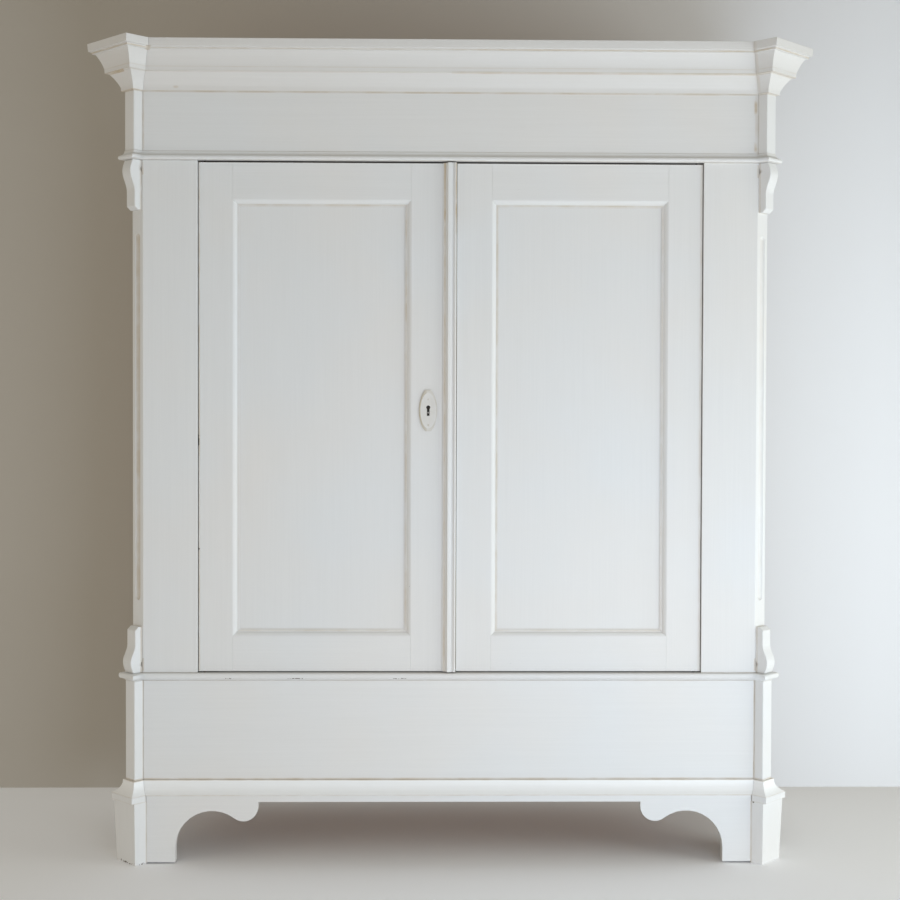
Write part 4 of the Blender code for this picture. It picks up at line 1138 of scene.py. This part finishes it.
@dataclass
class Ironwork:
    """The lock with its post, its bolt, the pivots and the two flat bolts."""

    post_radius: float = 1.8 * MM  # the key's hollow shank goes over it
    post_length: float = 5 * MM
    post_x: float = -0.0535
    post_z: float = 1.0722
    bare_metal: str = "#C9C4BC"
    worn_rust: str = "#A0968A"

    def dress(self, iron: ForgedIron) -> None:
        """Gives every fitting its iron.

        Args:
            iron: the iron.
        """
        metal = iron.fitting("browned_forged_iron")
        worn = replace(iron, metal=self.bare_metal, rust=self.worn_rust)
        bright = worn.fitting("iron_worn_bright_by_the_key")
        deselect()
        bpy.ops.mesh.primitive_cylinder_add(
            vertices=24,
            radius=self.post_radius,
            depth=self.post_length,
            location=(self.post_x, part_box("lock_case")[0].y - self.post_length / 2, self.post_z),
            rotation=(math.radians(90), 0, 0),
        )
        bpy.ops.object.shade_smooth_by_angle(angle=math.radians(40))
        add_piece("lock_post", bright, "left_door")
        for node in ("lock_case", "lock_bolt", "top_bolt", "bottom_bolt"):
            refine(node, metal)
        for side, _ in SIDES:
            for end in ("top", "bottom"):
                refine(f"{side}_{end}_pivot", metal)


@dataclass
class Studio:
    """The pale floor, the wall with painted light on it, the soft lamps and the camera."""

    eye: tuple[float, float, float] = (-0.0565, -3.5, 1.1027)  # from the foot of the face plane's middle
    pitch: float = -1.1  # degrees below the horizon
    yaw: float = -0.9
    roll: float = 0.17
    focal: float = 1470.0  # pixels of a picture 900 pixels wide
    centre_v: float = 428.2  # how many of them lie above the lens's axis
    picture: float = 900.0
    sensor: float = 36.0  # millimetres
    floor: str = "#FAFAFC"
    # painted light: the wall's colour runs from a shaded grey on the left to a lit white on the right
    wall_in_painted_shade: str = "#BDB7AD"
    wall_in_painted_light: str = "#E4E5E8"
    painted_light_ends: tuple[float, float] = (-1.0, 1.2)  # x where the one colour ends and the other is whole
    wall_y: float = 0.46
    matt: float = 0.85
    room: float = 16.0
    sky: tuple[float, ...] = (1.0, 0.965, 0.867, 1.0)
    sky_strength: float = 0.41

    def build(self) -> None:
        """Makes all of it."""
        self._floor()
        self._wall()
        self._lamps()
        self._camera()
        bpy.context.scene.view_settings.view_transform = "Standard"

    def _floor(self) -> None:
        """Lays a plain pale floor."""
        deselect()
        bpy.ops.mesh.primitive_plane_add(size=self.room)
        floor = bpy.context.object
        floor.name = "studio_floor"
        material, _, shader = new_material("matt_studio_floor")
        shader.inputs["Base Color"].default_value = linear(self.floor)
        shader.inputs["Roughness"].default_value = self.matt
        dress(floor, material)

    def _wall(self) -> None:
        """Stands a wall close behind the wardrobe, painted darker on the left and brighter on the right:
        painted light, as from a window on the right.

        Only camera and mirror rays from its front see it, so that it neither hides the wardrobe's back nor
        keeps light off it.
        """
        deselect()
        bpy.ops.mesh.primitive_plane_add(
            size=self.room, location=(0, self.wall_y, self.room / 2), rotation=(math.radians(90), 0, 0)
        )
        wall = bpy.context.object
        wall.name = "studio_wall"
        bpy.ops.object.transform_apply(location=True, rotation=True, scale=True)
        material, tree, shader = new_material("studio_wall_with_painted_light")
        parts = add_node(tree, "ShaderNodeSeparateXYZ", {}, {0: find_place(tree)}).outputs
        share = remap(tree, parts[0], self.painted_light_ends)
        colour = blend(tree, share, linear(self.wall_in_painted_shade), linear(self.wall_in_painted_light))
        tree.links.new(colour, shader.inputs["Base Color"])
        shader.inputs["Roughness"].default_value = self.matt
        behind = add_node(tree, "ShaderNodeNewGeometry", {}, {}).outputs["Backfacing"]
        rays = add_node(tree, "ShaderNodeLightPath", {}, {}).outputs
        seen = compute(tree, "MAXIMUM", rays["Is Camera Ray"], rays["Is Glossy Ray"])
        whole = compute(tree, "SUBTRACT", seen, behind, clamp=True)
        through = add_node(tree, "ShaderNodeBsdfTransparent", {}, {}).outputs[0]
        mixed = add_node(tree, "ShaderNodeMixShader", {}, {0: whole, 1: through, 2: shader.outputs[0]})
        tree.links.new(mixed.outputs[0], tree.nodes["Material Output"].inputs["Surface"])
        dress(wall, material)

    def _lamps(self) -> None:
        """Adds a low window on the right, its light off the floor, a weak warm fill and an even sky."""
        for name, place, target, size, power, colour in (
            ("low_window_lamp", (3.0, -1.2, 0.8), (0, -0.2, 0.8), (1.8, 1.4), 35.5, (0.94, 1.0, 0.98)),
            ("bright_floor_lamp", (0.9, -2.6, 0.35), (0.3, -0.2, 0.7), (1.6, 0.6), 26.0, (0.73, 0.84, 1.0)),
            ("left_fill_lamp", (-3.0, -1.8, 0.8), (0, -0.2, 0.7), (1.8, 1.8), 9.6, (1.0, 0.83, 0.61)),
        ):
            lamp = bpy.data.lights.new(name, "AREA")
            lamp.shape = "RECTANGLE"
            lamp.size, lamp.size_y = size
            lamp.energy = power
            lamp.color = colour
            holder = bpy.data.objects.new(name, lamp)
            holder.location = place
            holder.rotation_euler = (Vector(target) - Vector(place)).to_track_quat("-Z", "Y").to_euler()
            holder.visible_camera = False
            bpy.context.scene.collection.objects.link(holder)
        world = bpy.data.worlds.new("even_sky")
        bpy.context.scene.world = world
        world.use_nodes = True
        sky = world.node_tree.nodes["Background"]
        sky.inputs["Color"].default_value = self.sky
        sky.inputs["Strength"].default_value = self.sky_strength

    def _camera(self) -> None:
        """Puts the camera where the photograph was taken."""
        data = bpy.data.cameras.new("camera")
        data.sensor_width = self.sensor
        data.lens = self.focal / self.picture * self.sensor
        data.shift_y = (self.centre_v - self.picture / 2) / self.picture
        camera = bpy.data.objects.new("camera", data)
        x, y, z = self.eye
        camera.location = (x, FACE_Y + y, z)
        turn = (
            Matrix.Rotation(math.radians(self.yaw), 4, "Z")
            @ Matrix.Rotation(math.radians(90 + self.pitch), 4, "X")
            @ Matrix.Rotation(math.radians(self.roll), 4, "Z")
        )
        camera.rotation_euler = turn.to_euler()
        bpy.context.scene.collection.objects.link(camera)
        bpy.context.scene.camera = camera


if __name__ == "__main__":
    main()
